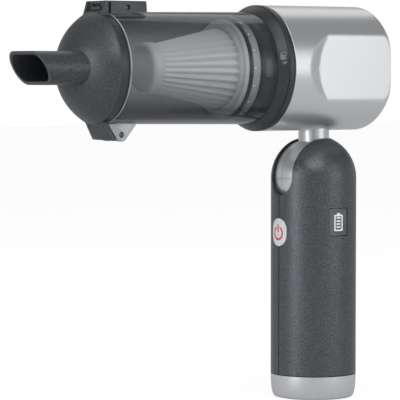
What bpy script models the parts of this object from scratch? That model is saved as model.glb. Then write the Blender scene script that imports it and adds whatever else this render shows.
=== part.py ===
"""Cordless handheld vacuum with a folding handle, modelled as separate pieces.

Metres, +Z up. The origin is the centre of the handle's flat foot. The body axis runs along X at
BODY_Z, with the nozzle towards -X, and the handle folds about Y at HINGE_Z.
"""

import math

import bmesh
import bpy
from mathutils import Matrix, Vector

MM = 0.001
GAP = 0.3 * MM  # between pieces that touch
MERGE = 0.00001
STEPS = 28  # facets round a large turned piece
INNER_STEPS = 20  # facets round a motor piece
SMALL_STEPS = 12  # facets round a small one

# Handle
HANDLE_R = 23.0 * MM
HANDLE_WALL = 2.4 * MM
HINGE_Z = 118.2 * MM  # foot to hinge axis
BASE_CAP_H = 12.6 * MM
BASE_CAP_WALL = 1.6 * MM
BASE_FLOOR = 3.0 * MM
BASE_ROUND_IN = 4.5 * MM  # flat foot's edge inside the handle's surface
BASE_SCREW_X = 11.0 * MM

# Folding hinge
FOLD_CLEARANCE = 2.5 * MM  # handle top to housing
SLOT_CLEARANCE = 0.5 * MM
STEM_R = 8.25 * MM
DISC_HALF_W = 8.5 * MM
DISC_SINK = 1.7 * MM  # disc rim below the handle's surface
DISC_CROWN = 1.4 * MM
DISC_WALL = 2.0 * MM
DISC_CLEARANCE = 0.35 * MM
AXLE_R = 3.0 * MM
AXLE_FIT = 0.2 * MM
AXLE_HEAD_R = 4.6 * MM
AXLE_BOSS_LEN = 6.4 * MM
WASHER_T = 0.6 * MM
STEM_SOCKET = 5.0 * MM  # how far the stem goes into the motor cradle

# Motor housing
HOUSING_R = 33.3 * MM
HOUSING_LEN = 66.7 * MM
HOUSING_WALL = 2.0 * MM
REAR_OVERHANG = 30.5 * MM  # housing behind the handle axis
REAR_ROUND = 4.5 * MM
REAR_OPENING_R = 25.5 * MM
FACET_DEPTH = 5.0 * MM
FACET_FLOOR_R = 28.1 * MM
FACET_FRONT = 18.4 * MM  # front of the facet's floor behind the housing's front edge
FACET_SLOPE = 1.58  # run of the facet's end wall for each unit of depth

# Collar and intake spigot
COLLAR_LEN = 8.2 * MM
COLLAR_RIM = 3.1 * MM
SPIGOT_WALL = 2.0 * MM
SPIGOT_REACH = 9.3 * MM  # spigot ahead of the collar
SPIGOT_FLANGE_T = 2.1 * MM
COLLAR_SCREWS = 2
COLLAR_SCREW_CLEARANCE = 0.7865 * MM  # screw head inside the collar's cone
COLLAR_SCREW_HEAD_R = 1.8 * MM
COLLAR_SCREW_HEAD_H = 1.4 * MM
BAYONET_COUNT = 3
BAYONET_H = 0.8 * MM

# Dust container
CUP_R_REAR = 29.6 * MM
CUP_R_FRONT = 28.5 * MM
CUP_LEN = 89.9 * MM
CUP_WALL = 2.2 * MM
CUP_FIT = 0.3 * MM

# Filter cartridge
RING_W = 4.3 * MM
GASKET_W = 1.1 * MM
FLANGE_W = 1.6 * MM
FLANGE_INSET = 2.1 * MM  # flange's front rim inside the ring's outer face
CONE_R_REAR = 21.4 * MM
CONE_R_FRONT = 12.4 * MM
CONE_LEN = 41.5 * MM
PLEATS = 29
PLEAT_DEPTH = 1.9 * MM
CORE_WALL = 1.2 * MM
MEDIA_WALL = 3.4 * MM
NOSE_R = 13.3 * MM
NOSE_LEN = 6.4 * MM
NOSE_ROUND = 4.0 * MM

# Front cap and nozzle
SEAL_SPACE = 1.0 * MM
SEAL_T = 0.4 * MM
BAND_LEN = 4.4 * MM
CAP_WALL = 2.2 * MM
DOME_R = 32.5 * MM
NOZZLE_W = 35.0 * MM
NOZZLE_H = 17.0 * MM
NOZZLE_WALL = 1.7 * MM
NOZZLE_REACH = 45.2 * MM  # top lip ahead of the cap's rear face
NOZZLE_SCARF = 9.0 * MM  # bottom lip behind the top lip
FLAP_T = 1.2 * MM

# Release latch on top
LATCH_HALF_W = 9.4 * MM
LATCH_LEN = 21.6 * MM
LATCH_TOP = 34.1 * MM  # above the body axis
LATCH_SKIN = 1.5 * MM
LATCH_PIN_BACK = 10.4 * MM  # pin behind the container's front edge
LATCH_PIN_UP = 30.7 * MM
LATCH_PIN_R = 1.1 * MM
LATCH_HOLE_R = 1.45 * MM
SPRING_R = 2.2 * MM
SPRING_WIRE = 0.35 * MM
SPRING_TURNS = 3

# Cap hinge below
LUG_HALF_W = 8.0 * MM
KNUCKLE_HALF_W = 4.4 * MM
CAP_PIN_BACK = 7.5 * MM  # pin behind the container's front edge
CAP_PIN_DOWN = 33.9 * MM
CAP_PIN_R = 1.3 * MM
LUG_TIP_R = 3.5 * MM
LUG_LEN = 16.6 * MM

# Motor and fan
MOTOR_R = 17.5 * MM
MOTOR_HALF_LEN = 13.0 * MM
MOTOR_WALL = 1.0 * MM
SHAFT_R = 1.5 * MM
BUSH_R = 4.0 * MM
CRADLE_WALL = 2.0 * MM
DAMPER_T = 1.4 * MM
FAN_R = 21.5 * MM
FAN_BLADES = 8
FAN_EYE_R = 11.5 * MM
SHROUD_R = 25.6 * MM
SHROUD_WALL = 1.5 * MM

# Battery and electronics
CELL_R = 9.2 * MM
CELL_LEN = 65.0 * MM
CELL_BASE_Z = 8.0 * MM
CELL_SPACING = 0.12 * MM
BOARD_T = 1.6 * MM
BUTTON_W = 11.5 * MM
BUTTON_H = 15.3 * MM
BUTTON_Z = 89.4 * MM
BUTTON_PROUD = 0.5 * MM
BUTTON_TRAVEL = 1.0 * MM
WINDOW_W = 11.5 * MM
WINDOW_H = 14.4 * MM
WINDOW_Z = 95.2 * MM
WINDOW_SINK = 0.3 * MM
SOCKET_W = 9.0 * MM
SOCKET_H = 3.3 * MM
SCREW_R = 1.2 * MM
SCREW_HEAD_R = 2.5 * MM
SCREW_HEAD_H = 1.8 * MM
SCREW_SEAT_Y = 13.5 * MM
HANDLE_SCREWS = ((10.5 * MM, 92.0 * MM), (-8.5 * MM, 84.0 * MM))  # (X, Z)

# Places that follow from the sizes
BODY_Z = HINGE_Z + HANDLE_R + FOLD_CLEARANCE + HOUSING_R
X_REAR = REAR_OVERHANG
X_HOUSING = X_REAR - HOUSING_LEN
X_COLLAR = X_HOUSING - GAP
X_COLLAR_FRONT = X_COLLAR - COLLAR_LEN
X_CUP_REAR = X_COLLAR_FRONT - GAP
X_CUP = X_CUP_REAR - CUP_LEN
X_CAP = X_CUP - SEAL_SPACE
X_SPIGOT = X_COLLAR_FRONT - SPIGOT_REACH
X_RING = X_SPIGOT - GAP
X_FLANGE = X_RING - RING_W - GASKET_W - 2 * GAP
X_CONE = X_FLANGE - FLANGE_W - GAP
X_NOSE = X_CONE - CONE_LEN - GAP
SPIGOT_R = CUP_R_REAR - CUP_WALL - 1.5 * MM
RING_R = CUP_R_REAR - CUP_WALL - CUP_FIT
FLANGE_R = RING_R - FLANGE_INSET
SLOT_HALF_W = DISC_HALF_W + SLOT_CLEARANCE
DISC_R = HANDLE_R - DISC_SINK
AXLE_BOSS_Y = DISC_HALF_W + WASHER_T + 2 * GAP  # inner face of the boss round the axle
AXLE_GRIP = AXLE_BOSS_Y + AXLE_BOSS_LEN
CRADLE_R = MOTOR_R + DAMPER_T + 2 * GAP + CRADLE_WALL
BORE_R = HANDLE_R - HANDLE_WALL  # inside of the handle
BASE_FLAT_R = HANDLE_R - BASE_ROUND_IN
COLLAR_NOSE_R = CUP_R_REAR + 0.1 * MM
COLLAR_INSIDE_FRONT = (COLLAR_NOSE_R - 0.8 * MM, X_COLLAR_FRONT + HOUSING_WALL)  # inner cone's ends, (radius, X)
COLLAR_INSIDE_REAR = (HOUSING_R - HOUSING_WALL, X_COLLAR - COLLAR_RIM + 0.6 * MM)
COLLAR_SCREW_SEAT_X = X_COLLAR + 0.2 * MM - SPIGOT_FLANGE_T - GAP
X_LATCH_PIN = X_CUP + LATCH_PIN_BACK
X_CAP_PIN = X_CUP + CAP_PIN_BACK
Z_CAP_PIN = BODY_Z - CAP_PIN_DOWN
HOLDER_TOP_Z = CELL_BASE_Z + CELL_LEN + GAP
BOARD_Z = HOLDER_TOP_Z + 2.7 * MM + GAP

ALONG = {"X": (0, math.pi / 2, 0), "Y": (-math.pi / 2, 0, 0), "Z": (0, 0, 0)}
ALONG_X = Matrix.Rotation(math.pi / 2, 3, "Y")
AXIS_ORIGIN = Vector((0, 0, BODY_Z))
HINGE_ORIGIN = Vector((0, 0, HINGE_Z))


def clear_scene():
    for obj in list(bpy.data.objects):
        bpy.data.objects.remove(obj, do_unlink=True)


clear_scene()
PARTS = bpy.data.collections.new("handheld_vacuum")
CUTTERS = bpy.data.collections.new("cutters")
bpy.context.scene.collection.children.link(PARTS)
bpy.context.scene.collection.children.link(CUTTERS)


def material(name, colour, roughness, metallic=0.0, alpha=1.0):
    made = bpy.data.materials.new(name)
    made.use_nodes = True
    shader = made.node_tree.nodes["Principled BSDF"]
    shader.inputs["Base Color"].default_value = (*colour, 1.0)
    shader.inputs["Roughness"].default_value = roughness
    shader.inputs["Metallic"].default_value = metallic
    shader.inputs["Alpha"].default_value = alpha
    return made


GREY = material("dark_grey_plastic", (0.10, 0.11, 0.12), 0.45)
SILVER = material("satin_silver", (0.62, 0.63, 0.65), 0.30, 0.9)
SMOKE = material("smoky_clear_plastic", (0.20, 0.22, 0.24), 0.08, 0.0, 0.4)
BLACK = material("black_plastic", (0.03, 0.03, 0.035), 0.5)
RUBBER = material("black_rubber", (0.02, 0.02, 0.02), 0.8)
FROST = material("frosted_plastic", (0.62, 0.64, 0.66), 0.45)
PAPER = material("filter_paper", (0.70, 0.70, 0.69), 0.9)
STEEL = material("steel", (0.55, 0.55, 0.56), 0.3, 1.0)
BRASS = material("sintered_bronze", (0.55, 0.36, 0.16), 0.5, 1.0)
FOAM = material("grey_foam", (0.16, 0.16, 0.17), 0.95)
BUTTON_GREY = material("button_grey", (0.55, 0.56, 0.57), 0.4)
LENS = material("window_lens", (0.07, 0.075, 0.08), 0.2)
CELL_WRAP = material("cell_wrap", (0.05, 0.16, 0.40), 0.4)
BOARD_GREEN = material("circuit_board", (0.02, 0.16, 0.07), 0.5)
MAGNET = material("ferrite", (0.06, 0.06, 0.06), 0.7)


def add_object(name, mesh, finish):
    """A part when it has a finish, otherwise a cutter or a guide."""
    obj = bpy.data.objects.new(name, mesh)
    if finish is None:
        CUTTERS.objects.link(obj)
        obj.hide_render = True
        obj.display_type = "WIRE"
    else:
        PARTS.objects.link(obj)
        obj.data.materials.append(finish)
        mesh.shade_smooth()
        mesh.set_sharp_from_angle(angle=math.radians(35))
    return obj


def turned(name, finish, profile, along="X", origin=AXIS_ORIGIN, steps=STEPS):
    """A turned piece. The profile is (radius, place along the axis), down the outer side first."""
    mesh = bpy.data.meshes.new(name)
    shape = bmesh.new()
    points = [shape.verts.new((radius, 0, place)) for radius, place in profile]
    on_axis = [radius < MERGE for radius, place in profile]
    for index, point in enumerate(points):
        following = (index + 1) % len(points)
        if not (on_axis[index] and on_axis[following]):
            shape.edges.new((point, points[following]))
    shape.to_mesh(mesh)
    shape.free()
    obj = add_object(name, mesh, finish)
    obj.location = origin
    obj.rotation_euler = ALONG[along]
    screw = obj.modifiers.new("turn", "SCREW")
    screw.steps = steps
    screw.render_steps = steps
    screw.use_merge_vertices = True
    screw.merge_threshold = MERGE
    screw.use_smooth_shade = True
    return obj


def rod(name, finish, radius, low, high, along="X", origin=AXIS_ORIGIN, steps=SMALL_STEPS):
    """A plain cylinder from low to high along the axis."""
    mesh = bpy.data.meshes.new(name)
    shape = bmesh.new()
    bmesh.ops.create_cone(
        shape, cap_ends=True, segments=steps, radius1=radius, radius2=radius, depth=high - low
    )
    bmesh.ops.translate(shape, verts=shape.verts, vec=(0, 0, (high + low) / 2))
    shape.to_mesh(mesh)
    shape.free()
    obj = add_object(name, mesh, finish)
    obj.location = origin
    obj.rotation_euler = ALONG[along]
    return obj


def tube(name, finish, outer, inner, low, high, along="X", origin=AXIS_ORIGIN, steps=STEPS):
    return turned(name, finish, [(outer, high), (outer, low), (inner, low), (inner, high)], along, origin, steps)


def box(name, finish, low, high):
    mesh = bpy.data.meshes.new(name)
    shape = bmesh.new()
    size = Vector(high) - Vector(low)
    place = Matrix.Translation((Vector(high) + Vector(low)) / 2) @ Matrix.Diagonal((*size, 1))
    bmesh.ops.create_cube(shape, size=1, matrix=place)
    shape.to_mesh(mesh)
    shape.free()
    return add_object(name, mesh, finish)


def round_about_axis(name, size, radius, count, start=0.0, along="X", origin=AXIS_ORIGIN, low=0.0):
    """Cutter boxes spread round an axis. Size is (radial, tangential, axial)."""
    mesh = bpy.data.meshes.new(name)
    shape = bmesh.new()
    for index in range(count):
        turn = Matrix.Rotation(start + 2 * math.pi * index / count, 4, "Z")
        shift = Matrix.Translation((radius, 0, low + size[2] / 2))
        bmesh.ops.create_cube(shape, size=1, matrix=turn @ shift @ Matrix.Diagonal((*size, 1)))
    shape.to_mesh(mesh)
    shape.free()
    obj = add_object(name, mesh, None)
    obj.location = origin
    obj.rotation_euler = ALONG[along]
    return obj


def arc(centre, radius, start, end, count):
    """Points on an arc, angles in degrees."""
    angles = [math.radians(start + (end - start) * index / count) for index in range(count + 1)]
    return [(centre[0] + radius * math.cos(a), centre[1] + radius * math.sin(a)) for a in angles]


def stadium(width, height, count=7):
    """A flat slot outline, with half-round ends."""
    end = (width - height) / 2
    return arc((end, 0), height / 2, -90, 90, count) + arc((-end, 0), height / 2, 90, 270, count)


def flat(name, finish, outline, thickness, facing="Y", origin=(0, 0, 0)):
    """A flat outline with a thickness. Facing Y draws it in X and Z, facing X in Y and Z."""
    curve = bpy.data.curves.new(name, "CURVE")
    curve.dimensions = "2D"
    curve.fill_mode = "BOTH"
    curve.extrude = thickness / 2
    spline = curve.splines.new("POLY")
    spline.points.add(len(outline) - 1)
    for point, (across, up) in zip(spline.points, outline):
        point.co = (across, up, 0, 1)
    spline.use_cyclic_u = True
    drawn = bpy.data.objects.new(name + "_outline", curve)
    CUTTERS.objects.link(drawn)
    graph = bpy.context.evaluated_depsgraph_get()
    mesh = bpy.data.meshes.new_from_object(drawn.evaluated_get(graph))
    bpy.data.objects.remove(drawn, do_unlink=True)
    shape = bmesh.new()
    shape.from_mesh(mesh)
    bmesh.ops.remove_doubles(shape, verts=shape.verts, dist=MERGE)
    bmesh.ops.recalc_face_normals(shape, faces=shape.faces)
    shape.to_mesh(mesh)
    shape.free()
    obj = add_object(name, mesh, finish)
    obj.location = origin
    obj.rotation_euler = {"Y": (math.pi / 2, 0, 0), "X": (math.pi / 2, 0, math.pi / 2), "Z": (0, 0, 0)}[facing]
    return obj


def combine(target, tool, operation):
    change = target.modifiers.new(f"{operation.lower()}_{tool.name}", "BOOLEAN")
    change.operation = operation
    change.solver = "EXACT"
    change.object = tool
    return target


def cut(target, *tools):
    for tool in tools:
        combine(target, tool, "DIFFERENCE")
    return target


def join(target, *tools):
    for tool in tools:
        combine(target, tool, "UNION")
    return target


def keep(target, *tools):
    for tool in tools:
        combine(target, tool, "INTERSECT")
    return target


REACH = 400 * MM  # larger than the whole object
SIDES = {"left": -1, "right": 1}  # left is -Y, seen from behind the nozzle


def side_space(side):
    """The space on one side of the middle plane, less half a gap."""
    near = GAP / 2
    far = REACH
    low_y, high_y = (-far, -near) if SIDES[side] < 0 else (near, far)
    return box(f"space_{side}", None, (-REACH, low_y, -REACH), (REACH, high_y, REACH))


# Motor housing


def faceted_barrel(name, finish, profile, facet_y, floor_r):
    """A turned barrel with a flat facet on each side, whose front end is an arc."""
    barrel = turned(name, finish, profile)
    centre_x = X_HOUSING + FACET_FRONT + FACET_FLOOR_R
    depth = 3 * FACET_DEPTH
    for side, sign in SIDES.items():
        mesh = bpy.data.meshes.new(f"{name}_facet_{side}")
        shape = bmesh.new()
        bmesh.ops.create_cone(
            shape,
            cap_ends=True,
            segments=40,
            radius1=floor_r,
            radius2=floor_r + depth * FACET_SLOPE,
            depth=depth,
        )
        shape.to_mesh(mesh)
        shape.free()
        cutter = add_object(f"{name}_facet_{side}", mesh, None)
        cutter.location = (centre_x, sign * (facet_y + depth / 2), BODY_Z)
        cutter.rotation_euler = (-sign * math.pi / 2, 0, 0)
        cut(barrel, cutter)
    return barrel


def motor_housing():
    rear = arc((HOUSING_R - REAR_ROUND, X_REAR - REAR_ROUND), REAR_ROUND, 90, 0, 3)
    housing = faceted_barrel(
        "motor_housing",
        SILVER,
        [(0, X_REAR)] + rear + [(HOUSING_R, X_HOUSING), (0, X_HOUSING)],
        HOUSING_R - FACET_DEPTH,
        FACET_FLOOR_R,
    )
    inner_r = HOUSING_R - HOUSING_WALL
    inner_round = REAR_ROUND - HOUSING_WALL
    wall_x = X_REAR - HOUSING_WALL
    inner_rear = arc((inner_r - inner_round, wall_x - inner_round), inner_round, 90, 0, 2)
    cavity = faceted_barrel(
        "housing_cavity",
        None,
        [(0, wall_x)] + inner_rear + [(inner_r, X_HOUSING - MM), (0, X_HOUSING - MM)],
        HOUSING_R - FACET_DEPTH - HOUSING_WALL,
        FACET_FLOOR_R + HOUSING_WALL / 2,
    )
    opening = rod("rear_opening", None, REAR_OPENING_R, wall_x - MM, X_REAR + MM, steps=STEPS)
    stem_hole = rod("stem_hole", None, STEM_R + GAP, BODY_Z - HOUSING_R - MM, BODY_Z - HOUSING_R / 2, "Z", (0, 0, 0), STEPS)
    return cut(housing, cavity, opening, stem_hole)


def exhaust_grille():
    """A slotted disc seated behind the housing's rear lip."""
    wall_x = X_REAR - HOUSING_WALL
    flange_r = REAR_OPENING_R + 0.6 * MM
    disc_r = REAR_OPENING_R - GAP
    flange_x = wall_x - GAP
    inner_x = flange_x - 1.6 * MM
    face_x = X_REAR - 0.6 * MM
    grille = turned(
        "exhaust_grille",
        GREY,
        [(0, face_x), (disc_r, face_x), (disc_r, flange_x), (flange_r, flange_x), (flange_r, inner_x), (0, inner_x)],
    )
    depth = face_x - inner_x + 2 * MM
    low = inner_x - MM
    inner_slots = round_about_axis("grille_slots_inner", (7 * MM, 2 * MM, depth), 9.5 * MM, 8, low=low)
    outer_slots = round_about_axis("grille_slots_outer", (7.5 * MM, 2.6 * MM, depth), 18.5 * MM, 16, low=low)
    return cut(grille, inner_slots, outer_slots), inner_x


def exhaust_foam(grille_x):
    thickness = 6 * MM
    radius = REAR_OPENING_R + 0.3 * MM
    rear = grille_x - GAP
    rod("exhaust_foam", FOAM, radius, rear - thickness, rear, steps=STEPS)


# Collar and spigot


def lock_collar():
    rim_x = X_COLLAR - COLLAR_RIM
    outer = HOUSING_R
    inner = HOUSING_R - HOUSING_WALL
    bore = SPIGOT_R + GAP
    groove = 0.35 * MM
    turned(
        "lock_collar",
        GREY,
        [
            (inner, X_COLLAR),
            (outer, X_COLLAR),
            (outer, rim_x),
            (outer - groove, rim_x - groove),
            (outer - 0.4 * MM, rim_x - 2 * groove),
            (COLLAR_NOSE_R, X_COLLAR_FRONT),
            (bore, X_COLLAR_FRONT),
            (bore, X_COLLAR_FRONT + HOUSING_WALL),
            COLLAR_INSIDE_FRONT,
            COLLAR_INSIDE_REAR,
        ],
    )


def intake_spigot():
    """The sleeve that the container and its filter seat on, with a flange clamped in the collar."""
    flange_r = HOUSING_R - HOUSING_WALL - GAP
    flange_x = X_COLLAR + 0.2 * MM
    bore = SPIGOT_R - SPIGOT_WALL
    groove_x = X_SPIGOT + 0.9 * MM
    groove_w = 1.8 * MM
    groove_r = SPIGOT_R - 0.7 * MM
    spigot = turned(
        "intake_spigot",
        BLACK,
        [
            (bore, flange_x),
            (flange_r, flange_x),
            (flange_r, flange_x - SPIGOT_FLANGE_T),
            (SPIGOT_R, flange_x - SPIGOT_FLANGE_T),
            (SPIGOT_R, groove_x + groove_w),
            (groove_r, groove_x + groove_w),
            (groove_r, groove_x),
            (SPIGOT_R, groove_x),
            (SPIGOT_R, X_SPIGOT),
            (bore, X_SPIGOT),
        ],
    )
    ramp = (2 * BAYONET_H, 7 * MM, 1.6 * MM)
    ramps = round_about_axis(
        "bayonet_ramps", ramp, SPIGOT_R, BAYONET_COUNT, start=math.pi / 2, low=X_CUP_REAR - 5.3 * MM
    )
    join(spigot, ramps)
    cut(spigot, bpy.data.objects["collar_screw_holes"])
    tube(
        "spigot_seal",
        RUBBER,
        CUP_R_REAR - CUP_WALL - GAP,
        groove_r + GAP,
        groove_x + 0.2 * MM,
        groove_x + groove_w - 0.2 * MM,
    )


def collar_screw_circle():
    """The radius at which the screw heads clear the collar's inner cone."""
    front_r, front_x = COLLAR_INSIDE_FRONT
    rear_r, rear_x = COLLAR_INSIDE_REAR
    head_x = COLLAR_SCREW_SEAT_X - COLLAR_SCREW_HEAD_H
    cone_r = front_r + (rear_r - front_r) * (head_x - front_x) / (rear_x - front_x)
    return cone_r - COLLAR_SCREW_HEAD_R - COLLAR_SCREW_CLEARANCE


def collar_screw_angles():
    return [2 * math.pi * (index + 0.5) / COLLAR_SCREWS for index in range(COLLAR_SCREWS)]


def collar_screw_holes():
    """Holes for the collar screws, as one cutter."""
    mesh = bpy.data.meshes.new("collar_screw_holes")
    shape = bmesh.new()
    length = 30 * MM
    circle = collar_screw_circle()
    for angle in collar_screw_angles():
        place = Matrix.Translation((circle * math.cos(angle), circle * math.sin(angle), X_COLLAR))
        radius = SCREW_R + GAP
        bmesh.ops.create_cone(
            shape, cap_ends=True, segments=16, radius1=radius, radius2=radius, depth=length, matrix=place
        )
    shape.to_mesh(mesh)
    shape.free()
    obj = add_object("collar_screw_holes", mesh, None)
    obj.location = AXIS_ORIGIN
    obj.rotation_euler = ALONG["X"]
    return obj


def collar_screws():
    """Screws through the spigot and shroud flanges."""
    seat_x = COLLAR_SCREW_SEAT_X
    circle = collar_screw_circle()
    for number, angle in enumerate(collar_screw_angles(), start=1):
        centre = ALONG_X @ Vector((circle * math.cos(angle), circle * math.sin(angle), 0))
        turned(
            f"collar_screw_{number}",
            STEEL,
            [
                (0, seat_x + 6.5 * MM),
                (SCREW_R, seat_x + 6.5 * MM),
                (SCREW_R, seat_x),
                (COLLAR_SCREW_HEAD_R, seat_x),
                (COLLAR_SCREW_HEAD_R, seat_x - COLLAR_SCREW_HEAD_H),
                (0, seat_x - COLLAR_SCREW_HEAD_H),
            ],
            origin=AXIS_ORIGIN + centre,
            steps=16,
        )


def intake_guard():
    radius = SPIGOT_R - SPIGOT_WALL - GAP
    low = X_SPIGOT + 3.0 * MM
    guard = rod("intake_guard", BLACK, radius, low, low + 1.6 * MM, steps=STEPS)
    slots = round_about_axis(
        "guard_slots", (14 * MM, 2.4 * MM, 4 * MM), 13.5 * MM, 12, start=0.1, low=low - MM
    )
    return cut(guard, slots)


# Fan and motor


def fan_shroud():
    front = X_HOUSING + 0.2 * MM
    flange_r = HOUSING_R - HOUSING_WALL - GAP
    bore = SHROUD_R - SHROUD_WALL
    rear = -MOTOR_HALF_LEN - 3.9 * MM
    shroud = turned(
        "fan_shroud",
        BLACK,
        [
            (bore, rear),
            (SHROUD_R, rear),
            (SHROUD_R, front + SHROUD_WALL),
            (flange_r, front + SHROUD_WALL),
            (flange_r, front),
            (FAN_EYE_R, front),
            (FAN_EYE_R, front + 2 * SHROUD_WALL),
            (bore, front + 2 * SHROUD_WALL),
        ],
    )
    return cut(shroud, bpy.data.objects["collar_screw_holes"]), rear


def diffuser(shroud_rear):
    """The plate behind the impeller, with swirl windows and a boss that seats on the motor."""
    outer = SHROUD_R - SHROUD_WALL - GAP
    boss_r = 12.0 * MM
    bore = BUSH_R + GAP
    front = shroud_rear - 1.7 * MM
    plate = turned(
        "diffuser",
        BLACK,
        [
            (bore, -MOTOR_HALF_LEN - GAP),
            (boss_r, -MOTOR_HALF_LEN - GAP),
            (boss_r, shroud_rear),
            (outer, shroud_rear),
            (outer, front),
            (bore, front),
        ],
    )
    windows = round_about_axis("diffuser_windows", (6 * MM, 6 * MM, 6 * MM), 18 * MM, 8, low=front - MM)
    cut(plate, windows)
    return front


def impeller(diffuser_front):
    """A back plate with curved blades on a hub."""
    plate_x = diffuser_front - 0.8 * MM
    plate_front = plate_x - 1.4 * MM
    hub_x = plate_x - 11.0 * MM
    bore = SHAFT_R + AXLE_FIT
    wheel = turned(
        "impeller",
        STEEL,
        [
            (bore, plate_x),
            (FAN_R, plate_x),
            (FAN_R, plate_front),
            (7.0 * MM, plate_front - 1.6 * MM),
            (4.5 * MM, hub_x),
            (bore, hub_x),
        ],
        steps=INNER_STEPS,
    )
    blade_t = 0.8 * MM
    bend_r = 14.0 * MM
    start = (6.2 * MM, 0)
    centre = (start[0] + bend_r * math.cos(math.radians(70)), bend_r * math.sin(math.radians(70)))
    inner_edge = arc(centre, bend_r - blade_t / 2, 250, 318, 3)
    outer_edge = arc(centre, bend_r + blade_t / 2, 318, 250, 3)
    depth = 8.6 * MM
    for number in range(FAN_BLADES):
        blade = flat(f"blade_{number}", None, inner_edge + outer_edge, depth, "Z")
        middle = plate_front + 0.4 * MM - depth / 2
        turn = Matrix.Rotation(2 * math.pi * number / FAN_BLADES, 4, "Z")
        blade.matrix_world = (
            Matrix.Translation(AXIS_ORIGIN) @ ALONG_X.to_4x4() @ turn @ Matrix.Translation((0, 0, middle))
        )
        join(wheel, blade)
    return hub_x


def motor(hub_x):
    """Can, magnets, rotor, shaft, bushes, end bell and the dampers round them."""
    half = MOTOR_HALF_LEN
    can_bore = MOTOR_R - MOTOR_WALL
    bush_bore = SHAFT_R + 0.15 * MM
    seat = BUSH_R + 0.15 * MM
    front_wall = -half + 3.0 * MM
    turned(
        "motor_can",
        STEEL,
        [
            (can_bore, half),
            (MOTOR_R, half),
            (MOTOR_R, -half),
            (seat, -half),
            (seat, front_wall),
            (can_bore, front_wall),
        ],
        steps=INNER_STEPS,
    )
    turned(
        "end_bell",
        BLACK,
        [
            (seat, half + 3.3 * MM),
            (MOTOR_R, half + 3.3 * MM),
            (MOTOR_R, half + GAP),
            (can_bore - GAP, half + GAP),
            (can_bore - GAP, half - 1.5 * MM),
            (seat, half - 1.5 * MM),
        ],
        steps=INNER_STEPS,
    )
    for end, place in (("front", -half), ("rear", half)):
        tube(f"shaft_bush_{end}", BRASS, BUSH_R, bush_bore, place, place + 3 * MM, steps=SMALL_STEPS)
    rotor_half = half - 4.5 * MM
    tube("magnet_ring", MAGNET, can_bore - GAP, can_bore - 3 * MM, -rotor_half, rotor_half, steps=INNER_STEPS)
    tube("rotor", STEEL, can_bore - 3.5 * MM, SHAFT_R + 0.15 * MM, -rotor_half, rotor_half, steps=INNER_STEPS)
    rod("motor_shaft", STEEL, SHAFT_R, hub_x - 0.5 * MM, half + 3.0 * MM)
    for end, place in (("front", -half + MM), ("rear", half - 5 * MM)):
        outer = MOTOR_R + GAP + DAMPER_T
        tube(f"motor_damper_{end}", RUBBER, outer, MOTOR_R + GAP, place, place + 4 * MM, steps=INNER_STEPS)


def motor_cradle():
    """The sleeve round the motor, with a socket for the hinge arm below and a key above."""
    half = MOTOR_HALF_LEN - 0.5 * MM
    bore = CRADLE_R - CRADLE_WALL
    reach = HOUSING_R - HOUSING_WALL - GAP
    cradle = tube("motor_cradle", BLACK, CRADLE_R, bore, -half, half, steps=INNER_STEPS)
    mid = CRADLE_R - CRADLE_WALL / 2
    foot_half = STEM_R + 2.2 * MM
    foot = box("cradle_foot", None, (-foot_half, -foot_half, BODY_Z - 2 * reach), (foot_half, foot_half, BODY_Z - mid))
    key = box("cradle_key", None, (-4 * MM, -4 * MM, BODY_Z + mid), (4 * MM, 4 * MM, BODY_Z + 2 * reach))
    envelope = rod("cradle_envelope", None, reach, -2 * half, 2 * half, steps=STEPS)
    socket = rod(
        "stem_socket", None, STEM_R + GAP, BODY_Z - 2 * reach, BODY_Z - reach + STEM_SOCKET, "Z", (0, 0, 0), STEPS
    )
    join(cradle, foot, key)
    keep(cradle, envelope)
    cut(cradle, socket)


# Folding hinge


def crowned(radius, crown, half_width, count=2):
    """The rim of the disc as (radius, place across), from the right edge to the left."""
    places = [half_width - 2 * half_width * index / count for index in range(count + 1)]
    return [(radius - crown * (place / half_width) ** 2, place) for place in places]


def hinge_arm(side):
    """Half of the silver arm: a hollow crowned disc with a stem up into the motor cradle."""
    name = f"hinge_arm_{side}"
    rim = crowned(DISC_R, DISC_CROWN, DISC_HALF_W - 0.8 * MM)
    bore = AXLE_R + AXLE_FIT
    edge_r = rim[0][0] - 0.9 * MM
    profile = [(bore, DISC_HALF_W), (edge_r, DISC_HALF_W)] + rim + [(edge_r, -DISC_HALF_W), (bore, -DISC_HALF_W)]
    arm = turned(name, SILVER, profile, "Y", HINGE_ORIGIN)
    stem_top = BODY_Z - (HOUSING_R - HOUSING_WALL - GAP) + STEM_SOCKET - GAP
    stem = rod(f"{name}_stem", None, STEM_R, HINGE_Z + DISC_R * 0.6, stem_top, "Z", (0, 0, 0), STEPS)
    inner_r = DISC_R - DISC_CROWN - DISC_WALL
    hollow_half = DISC_HALF_W - DISC_WALL
    hollow = tube(f"{name}_hollow", None, inner_r, bore + DISC_WALL, -hollow_half, hollow_half, "Y", HINGE_ORIGIN)
    channel = rod(
        f"{name}_channel", None, STEM_R - 3 * MM, HINGE_Z + DISC_R * 0.5, stem_top + MM, "Z", (0, 0, 0), SMALL_STEPS
    )
    join(arm, stem)
    cut(arm, hollow, channel)
    return keep(arm, side_space(side))


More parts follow.
